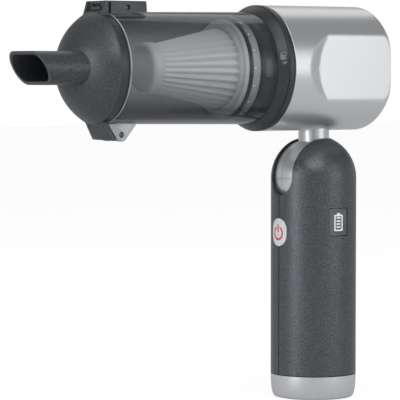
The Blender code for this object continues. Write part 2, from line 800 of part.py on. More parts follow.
def hinge_hardware():
    """The axle and the friction washers either side of the disc."""
    head = 1.6 * MM
    turned(
        "hinge_axle",
        STEEL,
        [
            (0, AXLE_GRIP + head),
            (AXLE_HEAD_R, AXLE_GRIP + head),
            (AXLE_HEAD_R, AXLE_GRIP),
            (AXLE_R, AXLE_GRIP),
            (AXLE_R, -AXLE_GRIP),
            (0, -AXLE_GRIP),
        ],
        "Y",
        HINGE_ORIGIN,
        SMALL_STEPS,
    )
    for side, sign in SIDES.items():
        near = sign * (DISC_HALF_W + GAP)
        far = sign * (DISC_HALF_W + GAP + WASHER_T)
        tube(
            f"friction_washer_{side}",
            BRASS,
            8.0 * MM,
            AXLE_R + AXLE_FIT,
            min(near, far),
            max(near, far),
            "Y",
            HINGE_ORIGIN,
            SMALL_STEPS,
        )


# Handle


def capsule_top(radius):
    return arc((0, HINGE_Z), radius, 90, 0, 7)


def slot_space():
    """The stem's path through the handle: straight up, forward, and the quarter between."""
    up = rod("slot_up", None, SLOT_HALF_W, 0, 2 * HANDLE_R, "Z", HINGE_ORIGIN, STEPS)
    forward = rod("slot_forward", None, SLOT_HALF_W, -2 * HANDLE_R, 0, "X", HINGE_ORIGIN, STEPS)
    half = SLOT_HALF_W - 0.05 * MM
    low = (-2 * HANDLE_R, -half, HINGE_Z)
    high = (0, half, HINGE_Z + 2 * HANDLE_R)
    quarter = box("slot_quarter", None, low, high)
    join(up, forward, quarter)
    return up


def handle_shell(side, spaces):
    """Half of the handle, with axle boss and screw bosses inside."""
    name = f"handle_shell_{side}"
    sign = SIDES[side]
    low = BASE_CAP_H + GAP / 2
    profile = capsule_top(HANDLE_R) + [(HANDLE_R, low), (BORE_R, low)] + capsule_top(BORE_R)[::-1]
    shell = turned(name, GREY, profile, "Z", (0, 0, 0))
    keep(shell, side_space(side))
    cut(shell, spaces["slot"], spaces["disc"], spaces["button"], spaces["window"], spaces["socket"])
    inner = min(sign * AXLE_BOSS_Y, sign * (BORE_R + 0.8 * MM))
    outer = max(sign * AXLE_BOSS_Y, sign * (BORE_R + 0.8 * MM))
    boss = rod(f"{name}_axle_boss", None, AXLE_R + 2.6 * MM, inner, outer, "Y", HINGE_ORIGIN)
    join(shell, boss)
    for number, (x, z) in enumerate(HANDLE_SCREWS, start=1):
        wall_y = math.sqrt(BORE_R**2 - x**2) + 0.9 * MM
        pillar_r = SCREW_HEAD_R + 1.5 * MM if sign > 0 else SCREW_R + 2.0 * MM
        near, far = sorted((sign * GAP / 2, sign * wall_y))
        pillar = rod(f"{name}_pillar_{number}", None, pillar_r, near, far, "Y", (x, 0, z), 20)
        join(shell, pillar)
    cut(shell, spaces["axle"], *spaces["screws"])
    if sign > 0:
        head = rod(f"{name}_axle_head", None, AXLE_HEAD_R + GAP, AXLE_GRIP - GAP, AXLE_GRIP + 1.9 * MM, "Y", HINGE_ORIGIN)
        cut(shell, head)


def button_outline(margin):
    """Racetrack outline in Y and Z, standing up."""
    wide = BUTTON_W + 2 * margin
    tall = BUTTON_H + 2 * margin
    return [(across, up) for up, across in stadium(tall, wide)]


def handle_spaces():
    """Everything that is cut from the handle's shells."""
    rim = crowned(DISC_R + DISC_CLEARANCE, DISC_CROWN, DISC_HALF_W - 0.8 * MM)
    side_y = DISC_HALF_W + DISC_CLEARANCE
    pocket = [(0, side_y), (rim[0][0], side_y)] + rim + [(rim[-1][0], -side_y), (0, -side_y)]
    disc = turned("disc_pocket", None, pocket, "Y", HINGE_ORIGIN)
    button = flat("button_hole", None, button_outline(GAP), 12 * MM, "X", (-HANDLE_R, 0, BUTTON_Z))
    half_w = WINDOW_W / 2 + GAP
    half_h = WINDOW_H / 2 + GAP
    window = box(
        "window_hole", None, (-half_w, -2 * HANDLE_R, WINDOW_Z - half_h), (half_w, -HANDLE_R / 2, WINDOW_Z + half_h)
    )
    socket_z = BOARD_Z + BOARD_T + GAP + SOCKET_H / 2
    outline = stadium(SOCKET_W + 2 * GAP, SOCKET_H + 2 * GAP)
    socket = flat("socket_hole", None, outline, 12 * MM, "X", (HANDLE_R, 0, socket_z))
    axle = rod("axle_hole", None, AXLE_R + AXLE_FIT, -AXLE_GRIP - GAP, AXLE_GRIP + MM, "Y", HINGE_ORIGIN)
    screws = []
    for number, (x, z) in enumerate(HANDLE_SCREWS, start=1):
        bore = rod(f"screw_bore_{number}", None, SCREW_R + GAP, -11.5 * MM, SCREW_SEAT_Y + MM, "Y", (x, 0, z), 16)
        counter = rod(
            f"screw_counterbore_{number}", None, SCREW_HEAD_R + GAP, SCREW_SEAT_Y, 2 * HANDLE_R, "Y", (x, 0, z), 20
        )
        screws += [bore, counter]
    return {
        "slot": slot_space(),
        "disc": disc,
        "button": button,
        "window": window,
        "socket": socket,
        "axle": axle,
        "screws": screws,
    }


def handle_screws():
    for number, (x, z) in enumerate(HANDLE_SCREWS, start=1):
        seat = SCREW_SEAT_Y + GAP
        turned(
            f"handle_screw_{number}",
            STEEL,
            [
                (0, seat + SCREW_HEAD_H),
                (SCREW_HEAD_R, seat + SCREW_HEAD_H),
                (SCREW_HEAD_R, seat),
                (SCREW_R, seat),
                (SCREW_R, -10.0 * MM),
                (0, -10.0 * MM),
            ],
            "Y",
            (x, 0, z),
            16,
        )


def base_curve(inset):
    """The base cap's side as (radius, height), from its rim to the flat."""
    rise = BASE_CAP_H - GAP / 2
    spread = HANDLE_R - BASE_FLAT_R
    count = 6
    points = []
    for index in range(count + 1):
        angle = math.radians(90 * index / count)
        height = rise * (1 - math.sin(angle))
        radius = BASE_FLAT_R + spread * (math.cos(angle)) ** 0.42 if index < count else BASE_FLAT_R
        points.append((radius - inset, height))
    return points


def base_cap():
    side = base_curve(0)
    inner = [(radius, max(height, BASE_FLOOR)) for radius, height in base_curve(BASE_CAP_WALL)]
    inner = [point for point in inner if point[1] > BASE_FLOOR]
    floor_edge = (inner[-1][0] - 0.5 * MM, BASE_FLOOR)
    profile = side + [(0, 0), (0, BASE_FLOOR), floor_edge] + inner[::-1]
    cap = turned("base_cap", SILVER, profile, "Z", (0, 0, 0))
    for number, sign in enumerate((-1, 1), start=1):
        x = sign * BASE_SCREW_X
        hole = rod(f"base_hole_{number}", None, SCREW_R + GAP, -MM, 2 * BASE_FLOOR, "Z", (x, 0, 0), 16)
        recess = rod(f"base_recess_{number}", None, SCREW_HEAD_R + GAP, -MM, BASE_FLOOR - MM, "Z", (x, 0, 0), 20)
        cut(cap, hole, recess)
        low = BASE_FLOOR - MM - GAP
        turned(
            f"base_screw_{number}",
            STEEL,
            [
                (0, low + 5.2 * MM),
                (SCREW_R, low + 5.2 * MM),
                (SCREW_R, low),
                (SCREW_HEAD_R, low),
                (SCREW_HEAD_R, low - 1.2 * MM),
                (0, low - 1.2 * MM),
            ],
            "Z",
            (x, 0, 0),
            16,
        )


def battery():
    """Three cells between two holders."""
    centre_r = 2 * (CELL_R + CELL_SPACING) / math.sqrt(3)
    for number in range(3):
        angle = math.pi / 6 + 2 * math.pi * number / 3
        place = (centre_r * math.cos(angle), centre_r * math.sin(angle), 0)
        top = CELL_BASE_Z + CELL_LEN
        turned(
            f"battery_cell_{number + 1}",
            CELL_WRAP,
            [
                (0, top),
                (3.4 * MM, top),
                (3.4 * MM, top - 0.8 * MM),
                (CELL_R - 0.4 * MM, top - 0.8 * MM),
                (CELL_R, top - 1.2 * MM),
                (CELL_R, CELL_BASE_Z),
                (0, CELL_BASE_Z),
            ],
            "Z",
            place,
            SMALL_STEPS,
        )
    lower_top = CELL_BASE_Z - GAP
    lower_r = BASE_FLAT_R + 0.2 * MM
    lower = rod("cell_holder_lower", BLACK, lower_r, BASE_FLOOR + GAP, lower_top, "Z", (0, 0, 0), STEPS)
    for number, sign in enumerate((-1, 1), start=1):
        pilot = rod(
            f"holder_pilot_{number}", None, SCREW_R + GAP, 0, lower_top - 0.2 * MM, "Z", (sign * BASE_SCREW_X, 0, 0), 16
        )
        cut(lower, pilot)
    upper = rod("cell_holder_upper", BLACK, BORE_R - GAP, HOLDER_TOP_Z, HOLDER_TOP_Z + 2.7 * MM, "Z", (0, 0, 0), STEPS)
    notch = box(
        "holder_notch", None, (-3 * MM, -2 * BORE_R, HOLDER_TOP_Z - MM), (3 * MM, -BORE_R + 4 * MM, HOLDER_TOP_Z + 4 * MM)
    )
    cut(upper, notch)


def electronics():
    board = rod("control_board", BOARD_GREEN, BORE_R - GAP, BOARD_Z, BOARD_Z + BOARD_T, "Z", (0, 0, 0), STEPS)
    notch = box(
        "board_notch", None, (-9 * MM, -2 * BORE_R, BOARD_Z - MM), (9 * MM, -BORE_R + 3 * MM, BOARD_Z + 3 * MM)
    )
    cut(board, notch)
    socket_z = BOARD_Z + BOARD_T + GAP + SOCKET_H / 2
    length = 9.0 * MM
    centre_x = HANDLE_R - 0.8 * MM - length / 2
    socket = flat("charge_socket", STEEL, stadium(SOCKET_W, SOCKET_H), length, "X", (centre_x, 0, socket_z))
    mouth = flat(
        "socket_mouth", None, stadium(SOCKET_W - 1.2 * MM, SOCKET_H - 1.2 * MM), 13 * MM, "X", (centre_x + length, 0, socket_z)
    )
    cut(socket, mouth)
    board_x = -13.3 * MM
    stand_z = BOARD_Z + BOARD_T + GAP
    box("switch_board", BOARD_GREEN, (board_x - BOARD_T, -8 * MM, stand_z), (board_x, 8 * MM, BUTTON_Z + 7 * MM))
    face_x = board_x - BOARD_T - GAP
    switch = box(
        "power_switch", BLACK, (face_x - 1.4 * MM, -3 * MM, BUTTON_Z - 3 * MM), (face_x, 3 * MM, BUTTON_Z + 3 * MM)
    )
    plunger = rod("switch_plunger", None, 1.6 * MM, face_x - 1.8 * MM, face_x - MM, "X", (0, 0, BUTTON_Z), 16)
    join(switch, plunger)
    lens_y = -BORE_R + 3.6 * MM
    box(
        "indicator_board",
        BOARD_GREEN,
        (-6.2 * MM, lens_y + GAP, WINDOW_Z - 8 * MM),
        (6.2 * MM, lens_y + GAP + BOARD_T, WINDOW_Z + 8 * MM),
    )
    lens = box(
        "battery_window",
        LENS,
        (-WINDOW_W / 2, -2 * HANDLE_R, WINDOW_Z - WINDOW_H / 2),
        (WINDOW_W / 2, lens_y, WINDOW_Z + WINDOW_H / 2),
    )
    face = rod("window_face", None, HANDLE_R - WINDOW_SINK, 0, 2 * HINGE_Z, "Z", (0, 0, 0), 48)
    keep(lens, face)
    return face_x - 1.8 * MM


def power_button(plunger_x):
    """The racetrack button, domed with the handle, with a flange and a post behind it."""
    back_x = -BORE_R + 2.1 * MM
    depth = 6.0 * MM
    button = flat("power_button", BUTTON_GREY, button_outline(0), depth, "X", (back_x - depth / 2, 0, BUTTON_Z))
    face = rod("button_face", None, HANDLE_R + BUTTON_PROUD, 0, 2 * HINGE_Z, "Z", (0, 0, 0), 48)
    keep(button, face)
    flange = flat("button_flange", None, button_outline(0.9 * MM), 0.9 * MM, "X", (back_x, 0, BUTTON_Z))
    post_end = plunger_x - BUTTON_TRAVEL - GAP
    post = rod("button_post", None, 2.0 * MM, back_x, post_end, "X", (0, 0, BUTTON_Z), 16)
    join(button, flange, post)


# Dust container and filter


def cup_radius(x):
    """Outer radius of the container, which tapers to the front."""
    share = (X_CUP_REAR - x) / CUP_LEN
    return CUP_R_REAR + (CUP_R_FRONT - CUP_R_REAR) * share


def lug_outline():
    """Side view of a hinge lug: wide at the container, round about the pin."""
    top_z = Z_CAP_PIN + CAP_PIN_DOWN - CUP_R_FRONT + 2.0 * MM
    edge_z = top_z - 1.5 * MM
    pin = (X_CAP_PIN, Z_CAP_PIN)
    front = arc(pin, LUG_TIP_R, 207, 322, 8)
    return [(X_CUP + LUG_LEN, top_z), (X_CUP, top_z), (X_CUP, edge_z)] + front


def dust_container():
    wall = CUP_WALL
    cup = turned(
        "dust_container",
        SMOKE,
        [
            (CUP_R_REAR - wall, X_CUP_REAR),
            (CUP_R_REAR, X_CUP_REAR),
            (CUP_R_FRONT, X_CUP),
            (CUP_R_FRONT - wall, X_CUP),
        ],
    )
    for side, sign in SIDES.items():
        width = LUG_HALF_W - KNUCKLE_HALF_W - GAP - 0.1 * MM
        middle = sign * (LUG_HALF_W - width / 2)
        lug = flat(f"lug_{side}", None, lug_outline(), width, "Y", (0, middle, 0))
        join(cup, lug)
        ear_y = LATCH_HALF_W - LATCH_SKIN - GAP - 1.3 * MM
        pin = (X_LATCH_PIN, BODY_Z + LATCH_PIN_UP)
        foot_z = BODY_Z + CUP_R_FRONT - 1.6 * MM
        outline = [(pin[0] + 4 * MM, foot_z), (pin[0] - 4 * MM, foot_z)][::-1] + arc(pin, LATCH_PIN_R + MM, 10, 170, 8)
        ear = flat(f"latch_ear_{side}", None, outline, 2.6 * MM, "Y", (0, sign * ear_y, 0))
        join(cup, ear)
    lock = (3 * MM, 7 * MM, 2.0 * MM)
    lugs = round_about_axis(
        "bayonet_lugs", lock, CUP_R_REAR - wall + 0.6 * MM, BAYONET_COUNT, start=math.pi / 2, low=X_CUP_REAR - 3.4 * MM
    )
    join(cup, lugs)
    keep(cup, container_envelope())
    bore = rod("latch_ear_bore", None, LATCH_PIN_R + 0.2 * MM, -LUG_HALF_W * 2, LUG_HALF_W * 2, "Y", latch_origin(), 20)
    hinge_bore = rod("lug_bore", None, CAP_PIN_R + GAP, -LUG_HALF_W * 2, LUG_HALF_W * 2, "Y", cap_hinge_origin(), 20)
    return cut(cup, bore, hinge_bore)


def container_envelope():
    """Keeps the bayonet lugs inside the container's outer wall, and the ears and hinge lugs whole."""
    envelope = turned(
        "container_envelope",
        None,
        [
            (0, X_CUP_REAR),
            (CUP_R_REAR, X_CUP_REAR),
            (cup_radius(X_CUP_REAR - 20 * MM), X_CUP_REAR - 20 * MM),
            (2 * CUP_R_REAR, X_CUP_REAR - 20 * MM),
            (2 * CUP_R_REAR, X_CUP),
            (0, X_CUP),
        ],
    )
    return envelope


def latch_origin():
    return Vector((X_LATCH_PIN, 0, BODY_Z + LATCH_PIN_UP))


def cap_hinge_origin():
    return Vector((X_CAP_PIN, 0, Z_CAP_PIN))


def filter_cartridge():
    """Outer ring, gasket, flange, pleated media on a core, and the nose cap."""
    tube("filter_ring", FROST, RING_R, FLANGE_R - MM, X_RING - RING_W, X_RING)
    gasket_x = X_RING - RING_W - GAP
    tube("filter_gasket", RUBBER, RING_R, FLANGE_R - MM, gasket_x - GASKET_W, gasket_x)
    flange_x = X_FLANGE
    core_r = CONE_R_REAR - MEDIA_WALL - GAP
    turned(
        "filter_flange",
        FROST,
        [
            (core_r, flange_x),
            (FLANGE_R + MM, flange_x),
            (FLANGE_R, flange_x - FLANGE_W),
            (core_r, flange_x - FLANGE_W),
        ],
    )
    filter_media()
    core_front_r = CONE_R_FRONT - MEDIA_WALL - GAP
    core = turned(
        "filter_core",
        FROST,
        [
            (core_r - CORE_WALL, X_CONE),
            (core_r, X_CONE),
            (core_front_r, X_CONE - CONE_LEN),
            (core_front_r - CORE_WALL, X_CONE - CONE_LEN),
        ],
        steps=INNER_STEPS,
    )
    for number, share in enumerate((0.25, 0.72), start=1):
        place = X_CONE - CONE_LEN * share
        windows = round_about_axis(
            f"core_windows_{number}", (30 * MM, 4.2 * MM, 9 * MM), 15 * MM, 6, low=place - 4.5 * MM
        )
        cut(core, windows)
    nose_front = X_NOSE - NOSE_LEN
    rounding = arc((NOSE_R - NOSE_ROUND, nose_front + NOSE_ROUND), NOSE_ROUND, 0, -90, 4)
    turned(
        "filter_nose",
        FROST,
        [(0, X_NOSE), (NOSE_R - 0.5 * MM, X_NOSE), (NOSE_R, X_NOSE - 0.5 * MM)] + rounding + [(0, nose_front)],
    )


def filter_media():
    """A pleated cone: every second edge of a cone is drawn in, and the middle is bored out."""
    mesh = bpy.data.meshes.new("filter_media")
    shape = bmesh.new()
    bmesh.ops.create_cone(
        shape,
        cap_ends=True,
        segments=2 * PLEATS,
        radius1=CONE_R_FRONT,
        radius2=CONE_R_REAR,
        depth=CONE_LEN,
    )
    step = math.pi / PLEATS
    for point in shape.verts:
        turn = round(math.atan2(point.co.y, point.co.x) / step)
        if turn % 2:
            radius = point.co.xy.length
            depth = PLEAT_DEPTH * radius / CONE_R_REAR
            point.co.xy *= (radius - depth) / radius
    shape.to_mesh(mesh)
    shape.free()
    media = add_object("filter_media", mesh, PAPER)
    media.location = AXIS_ORIGIN + Vector((X_CONE - CONE_LEN / 2, 0, 0))
    media.rotation_euler = ALONG["X"]
    bore = turned(
        "media_bore",
        None,
        [
            (0, X_CONE + MM),
            (CONE_R_REAR - MEDIA_WALL, X_CONE + MM),
            (CONE_R_REAR - MEDIA_WALL, X_CONE),
            (CONE_R_FRONT - MEDIA_WALL, X_CONE - CONE_LEN),
            (CONE_R_FRONT - MEDIA_WALL, X_CONE - CONE_LEN - MM),
            (0, X_CONE - CONE_LEN - MM),
        ],
        steps=INNER_STEPS,
    )
    return cut(media, bore)


# Release latch


def release_latch():
    """A rocker box over the container, with a nose that reaches into the cap's bracket."""
    front = X_CUP + GAP
    rear = X_CUP + LATCH_LEN
    top = BODY_Z + LATCH_TOP
    low = BODY_Z + CUP_R_FRONT - 4.5 * MM
    slant = 0.8 * MM
    outline = [(front, low), (rear + slant, low), (rear, top), (front, top)]
    latch = flat("release_latch", GREY, outline, 2 * LATCH_HALF_W, "Y")
    inner_y = LATCH_HALF_W - LATCH_SKIN
    hollow = box(
        "latch_hollow",
        None,
        (front + LATCH_SKIN, -inner_y, low - MM),
        (rear - LATCH_SKIN, inner_y, top - MM),
    )
    run_r = CUP_R_FRONT + 0.5 * MM
    lift = 1.3 * MM
    clear = turned(
        "latch_clearance",
        None,
        [(0, rear + 5 * MM), (run_r + lift, rear + 5 * MM), (run_r, front - 2 * MM), (0, front - 2 * MM)],
        steps=48,
    )
    nose = box(
        "latch_nose",
        None,
        (front - 3.4 * MM, -4 * MM, BODY_Z + 29.7 * MM),
        (front + LATCH_SKIN / 2, 4 * MM, BODY_Z + 31.2 * MM),
    )
    bore = rod("latch_bore", None, LATCH_HOLE_R, -2 * LATCH_HALF_W, 2 * LATCH_HALF_W, "Y", latch_origin(), 20)
    cut(latch, hollow, clear)
    join(latch, nose)
    cut(latch, bore)
    rod("latch_pin", STEEL, LATCH_PIN_R, -LATCH_HALF_W + MM, LATCH_HALF_W - MM, "Y", latch_origin(), 20)
    latch_spring(rear, top)


def latch_spring(rear, top):
    """A short coil under the rear of the rocker."""
    x = rear - LATCH_SKIN - SPRING_R - 1.2 * MM
    low = BODY_Z + cup_radius(x) + GAP + SPRING_WIRE
    high = top - MM - GAP - SPRING_WIRE
    curve = bpy.data.curves.new("latch_spring", "CURVE")
    curve.dimensions = "3D"
    curve.bevel_depth = SPRING_WIRE
    curve.bevel_resolution = 1
    curve.use_fill_caps = True
    spline = curve.splines.new("POLY")
    per_turn = 8
    count = SPRING_TURNS * per_turn
    spline.points.add(count)
    for index, point in enumerate(spline.points):
        angle = 2 * math.pi * index / per_turn
        height = (high - low) * index / count
        point.co = (SPRING_R * math.cos(angle), SPRING_R * math.sin(angle), height, 1)
    spring = bpy.data.objects.new("latch_spring", curve)
    PARTS.objects.link(spring)
    curve.materials.append(STEEL)
    spring.location = (x, 0, low)


# Front cap


def front_cap():
    """Band, dome, flat nozzle, latch bracket and hinge knuckle in one moulding."""
    band_x = X_CAP - BAND_LEN
    edge_r = CUP_R_FRONT - 0.15 * MM
    centre_x = band_x + math.sqrt(DOME_R**2 - edge_r**2)
    start = math.degrees(math.asin((centre_x - band_x) / DOME_R))
    dome = [
        (DOME_R * math.cos(math.radians(a)), centre_x - DOME_R * math.sin(math.radians(a)))
        for a in [start + (90 - start) * index / 7 for index in range(8)]
    ]
    inner_r = DOME_R - CAP_WALL
    inner_edge = CUP_R_FRONT - CAP_WALL
    inner_start = math.degrees(math.acos(inner_edge / inner_r))
    inner = [
        (inner_r * math.cos(math.radians(a)), centre_x - inner_r * math.sin(math.radians(a)))
        for a in [inner_start + (90 - inner_start) * index / 6 for index in range(7)]
    ]
    dome[-1] = (0, dome[-1][1])
    inner[-1] = (0, inner[-1][1])
    profile = [(CUP_R_FRONT, X_CAP), (CUP_R_FRONT, band_x)] + dome + inner[::-1] + [(inner_edge, X_CAP)]
    cap = turned("front_cap", GREY, profile)
    tip_x = X_CAP - NOZZLE_REACH
    inner_x = centre_x - inner_r + 6.0 * MM
    length = inner_x - (tip_x - 3 * MM)
    middle = (inner_x + tip_x - 3 * MM) / 2
    outer = flat("nozzle_body", None, stadium(NOZZLE_W, NOZZLE_H, 9), length, "X", (middle, 0, BODY_Z))
    duct = flat(
        "nozzle_duct",
        None,
        stadium(NOZZLE_W - 2 * NOZZLE_WALL, NOZZLE_H - 2 * NOZZLE_WALL, 9),
        length + 4 * MM,
        "X",
        (middle, 0, BODY_Z),
    )
    half_h = NOZZLE_H / 2
    scarf = flat(
        "nozzle_scarf",
        None,
        [
            (tip_x - NOZZLE_SCARF, BODY_Z + 2 * NOZZLE_H),
            (tip_x - NOZZLE_SCARF * (2 * NOZZLE_H - half_h) / NOZZLE_H, BODY_Z + 2 * NOZZLE_H),
            (tip_x + NOZZLE_SCARF * (2 * NOZZLE_H + half_h) / NOZZLE_H, BODY_Z - 2 * NOZZLE_H),
            (tip_x - 4 * NOZZLE_SCARF, BODY_Z - 2 * NOZZLE_H),
            (tip_x - 4 * NOZZLE_SCARF, BODY_Z + 2 * NOZZLE_H),
        ][1:],
        2 * NOZZLE_W,
        "Y",
    )
    join(cap, outer, top_bracket(band_x), bottom_bracket(band_x))
    cut(cap, duct, scarf, bracket_recess(), bracket_window(), bottom_recess(band_x))
    join(cap, knuckle())
    pin_bore = rod("knuckle_bore", None, CAP_PIN_R + GAP, -LUG_HALF_W * 2, LUG_HALF_W * 2, "Y", cap_hinge_origin(), 20)
    cut(cap, pin_bore)
    return inner_x


def top_bracket(band_x):
    """The block that the latch's nose reaches into."""
    low = BODY_Z + CUP_R_FRONT - 1.9 * MM
    top = BODY_Z + LATCH_TOP
    outline = [(X_CAP, low), (X_CAP, top), (X_CAP - 1.9 * MM, top), (band_x + 0.2 * MM, low)][::-1]
    return flat("top_bracket", None, outline, 2 * LATCH_HALF_W, "Y")


def bracket_recess():
    inner_y = LATCH_HALF_W - 1.9 * MM
    low = (X_CAP - 12 * MM, -inner_y, BODY_Z + CUP_R_FRONT + 0.3 * MM)
    high = (X_CAP - 1.2 * MM, inner_y, BODY_Z + LATCH_TOP + MM)
    return box("bracket_recess", None, low, high)


def bracket_window():
    low = (X_CAP - 3 * MM, -4.4 * MM, BODY_Z + 29.3 * MM)
    high = (X_CAP + MM, 4.4 * MM, BODY_Z + 32.8 * MM)
    return box("bracket_window", None, low, high)


def bottom_bracket(band_x):
    """The slanted block ahead of the container's hinge lugs."""
    top = BODY_Z - CUP_R_FRONT + 1.9 * MM
    pin = (X_CAP_PIN, Z_CAP_PIN)
    reach = LUG_TIP_R + 0.9 * MM
    foot = arc(pin, reach, 207, 222, 2)
    front_low = (band_x + 5.4 * MM, Z_CAP_PIN - 2.6 * MM)
    seat = (X_CUP - 0.9 * MM, top - 1.9 * MM)
    outline = [(X_CAP, top), (band_x + 0.2 * MM, top), (front_low[0] - 0.6 * MM, front_low[1] + 0.9 * MM), front_low]
    outline += foot[::-1] + [seat]
    return flat("bottom_bracket", None, outline, 2 * LUG_HALF_W, "Y")


def bottom_recess(band_x):
    """The groove down the front of the lower bracket."""
    half = LUG_HALF_W - 2.2 * MM
    outline = [
        (band_x - 3 * MM, BODY_Z - CUP_R_FRONT - 0.5 * MM),
        (band_x + 1.7 * MM, BODY_Z - CUP_R_FRONT - 0.5 * MM),
        (band_x + 6.1 * MM, Z_CAP_PIN - 5 * MM),
        (band_x - 3 * MM, Z_CAP_PIN - 5 * MM),
    ]
    return flat("bottom_recess", None, outline, 2 * half, "Y")


def knuckle():
    """The hinge eye between the container's lugs, with an arm to the bracket."""
    radius = LUG_TIP_R - 0.2 * MM
    pin = (X_CAP_PIN, Z_CAP_PIN)
    arm = [
        (X_CAP_PIN - 6.4 * MM, Z_CAP_PIN + 0.2 * MM),
        (X_CAP_PIN - 5.4 * MM, Z_CAP_PIN - 2.5 * MM),
    ]
    outline = arm + arc(pin, radius, 245, 470, 12)
    return flat("knuckle", None, outline, 2 * KNUCKLE_HALF_W, "Y")


def cap_fittings(duct_x):
    """Seal, hinge pin and the flap behind the nozzle."""
    seal_x = X_CAP + GAP
    tube("cap_seal", RUBBER, CUP_R_FRONT - 0.3 * MM, CUP_R_FRONT - CAP_WALL + 0.2 * MM, seal_x, seal_x + SEAL_T)
    rod("cap_hinge_pin", STEEL, CAP_PIN_R, -LUG_HALF_W + 0.5 * MM, LUG_HALF_W - 0.5 * MM, "Y", cap_hinge_origin(), 20)
    flap_x = duct_x + GAP
    outline = stadium(NOZZLE_W - NOZZLE_WALL, NOZZLE_H - NOZZLE_WALL, 7)
    flap = flat("inlet_flap", RUBBER, outline, FLAP_T, "X", (flap_x + FLAP_T / 2, 0, BODY_Z))
    return flap


# Assembly


def build():
    collar_screw_holes()
    motor_housing()
    _, grille_x = exhaust_grille()
    exhaust_foam(grille_x)
    lock_collar()
    intake_spigot()
    collar_screws()
    intake_guard()
    _, shroud_rear = fan_shroud()
    diffuser_front = diffuser(shroud_rear)
    hub_x = impeller(diffuser_front)
    motor(hub_x)
    motor_cradle()
    spaces = handle_spaces()
    for side in SIDES:
        hinge_arm(side)
        handle_shell(side, spaces)
    hinge_hardware()
    handle_screws()
    base_cap()
    battery()
    power_button(electronics())
    dust_container()
    filter_cartridge()
    release_latch()
    cap_fittings(front_cap())


build()
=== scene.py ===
"""Looks of the cordless handheld vacuum: smooth shells, clear container, filter, icons, materials and light.

Metres, +Z up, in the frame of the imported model. Left is -Y, the side that the camera sees.
"""

import math

import bmesh
import bpy
from mathutils import Matrix, Vector

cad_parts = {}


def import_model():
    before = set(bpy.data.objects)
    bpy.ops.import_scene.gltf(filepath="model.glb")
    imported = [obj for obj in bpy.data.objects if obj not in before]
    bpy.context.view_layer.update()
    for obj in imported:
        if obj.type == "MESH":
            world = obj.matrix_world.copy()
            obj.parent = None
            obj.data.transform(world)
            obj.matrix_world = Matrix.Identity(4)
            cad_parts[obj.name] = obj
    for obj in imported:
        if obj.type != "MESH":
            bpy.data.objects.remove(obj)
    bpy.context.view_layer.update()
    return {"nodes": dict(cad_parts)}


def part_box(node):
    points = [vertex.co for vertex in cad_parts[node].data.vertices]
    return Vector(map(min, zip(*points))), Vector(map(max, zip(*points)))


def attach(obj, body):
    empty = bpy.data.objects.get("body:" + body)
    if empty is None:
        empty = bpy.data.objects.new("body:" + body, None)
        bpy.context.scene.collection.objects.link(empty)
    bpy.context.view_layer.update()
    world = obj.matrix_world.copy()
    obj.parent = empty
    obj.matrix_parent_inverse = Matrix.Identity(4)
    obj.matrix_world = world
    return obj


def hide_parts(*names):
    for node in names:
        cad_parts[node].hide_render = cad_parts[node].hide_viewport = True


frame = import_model()
NODES = frame["nodes"]

MM = 0.001
GAP = 0.3 * MM
EDGE = 0.3 * MM  # rounding of the moulded rims
FINE_EDGE = 0.25 * MM
ORIGIN = (0, 0, 0)
FINE = 192  # facets round a large shell
MEDIUM = 96
SMALL = 48
SIDES = {"left": -1, "right": 1}

# Places read from the frame
HOUSING_LOW, HOUSING_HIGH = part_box("motor_housing")
COLLAR_LOW, COLLAR_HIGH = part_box("lock_collar")
CUP_LOW, CUP_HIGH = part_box("dust_container")
CAP_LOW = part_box("front_cap")[0]
SPIGOT_LOW, SPIGOT_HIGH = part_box("intake_spigot")
GRILLE_LOW, GRILLE_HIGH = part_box("exhaust_grille")
FOAM_LOW, FOAM_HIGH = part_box("exhaust_foam")
GUARD_LOW, GUARD_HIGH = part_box("intake_guard")
RING_LOW, RING_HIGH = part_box("filter_ring")
GASKET_LOW, GASKET_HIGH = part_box("filter_gasket")
FLANGE_LOW, FLANGE_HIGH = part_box("filter_flange")
MEDIA_LOW, MEDIA_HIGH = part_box("filter_media")
NOSE_LOW, NOSE_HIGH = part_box("filter_nose")
BASE_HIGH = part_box("base_cap")[1]
ARM_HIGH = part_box("hinge_arm_left")[1]
AXLE_LOW, AXLE_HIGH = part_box("hinge_axle")
BUTTON_LOW, BUTTON_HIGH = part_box("power_button")
WINDOW_LOW, WINDOW_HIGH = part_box("battery_window")
LATCH_LOW, LATCH_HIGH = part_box("release_latch")
LATCH_PIN_LOW, LATCH_PIN_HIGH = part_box("latch_pin")
CAP_PIN_LOW, CAP_PIN_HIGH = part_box("cap_hinge_pin")
SEAL_LOW, SEAL_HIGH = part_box("cap_seal")
FLAP_LOW, FLAP_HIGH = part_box("inlet_flap")
SOCKET_LOW, SOCKET_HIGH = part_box("charge_socket")

BODY_Z = (HOUSING_LOW.z + HOUSING_HIGH.z) / 2
HINGE_Z = (AXLE_LOW.z + AXLE_HIGH.z) / 2
HOUSING_R = HOUSING_HIGH.z - BODY_Z
HANDLE_R = BASE_HIGH.x
X_REAR = HOUSING_HIGH.x
X_HOUSING = HOUSING_LOW.x
X_CAP = SEAL_LOW.x - GAP
X_CUP = CUP_LOW.x
CAP_PIN = (CAP_PIN_LOW + CAP_PIN_HIGH) / 2
LATCH_PIN = (LATCH_PIN_LOW + LATCH_PIN_HIGH) / 2
AXIS = Vector((0, 0, BODY_Z))
HINGE = Vector((0, 0, HINGE_Z))
BUTTON_Z = (BUTTON_LOW.z + BUTTON_HIGH.z) / 2
WINDOW_Z = (WINDOW_LOW.z + WINDOW_HIGH.z) / 2
SOCKET_Z = (SOCKET_LOW.z + SOCKET_HIGH.z) / 2
BUTTON_MIDDLE = (0, 0, BUTTON_Z)
WINDOW_MIDDLE = (0, 0, WINDOW_Z)

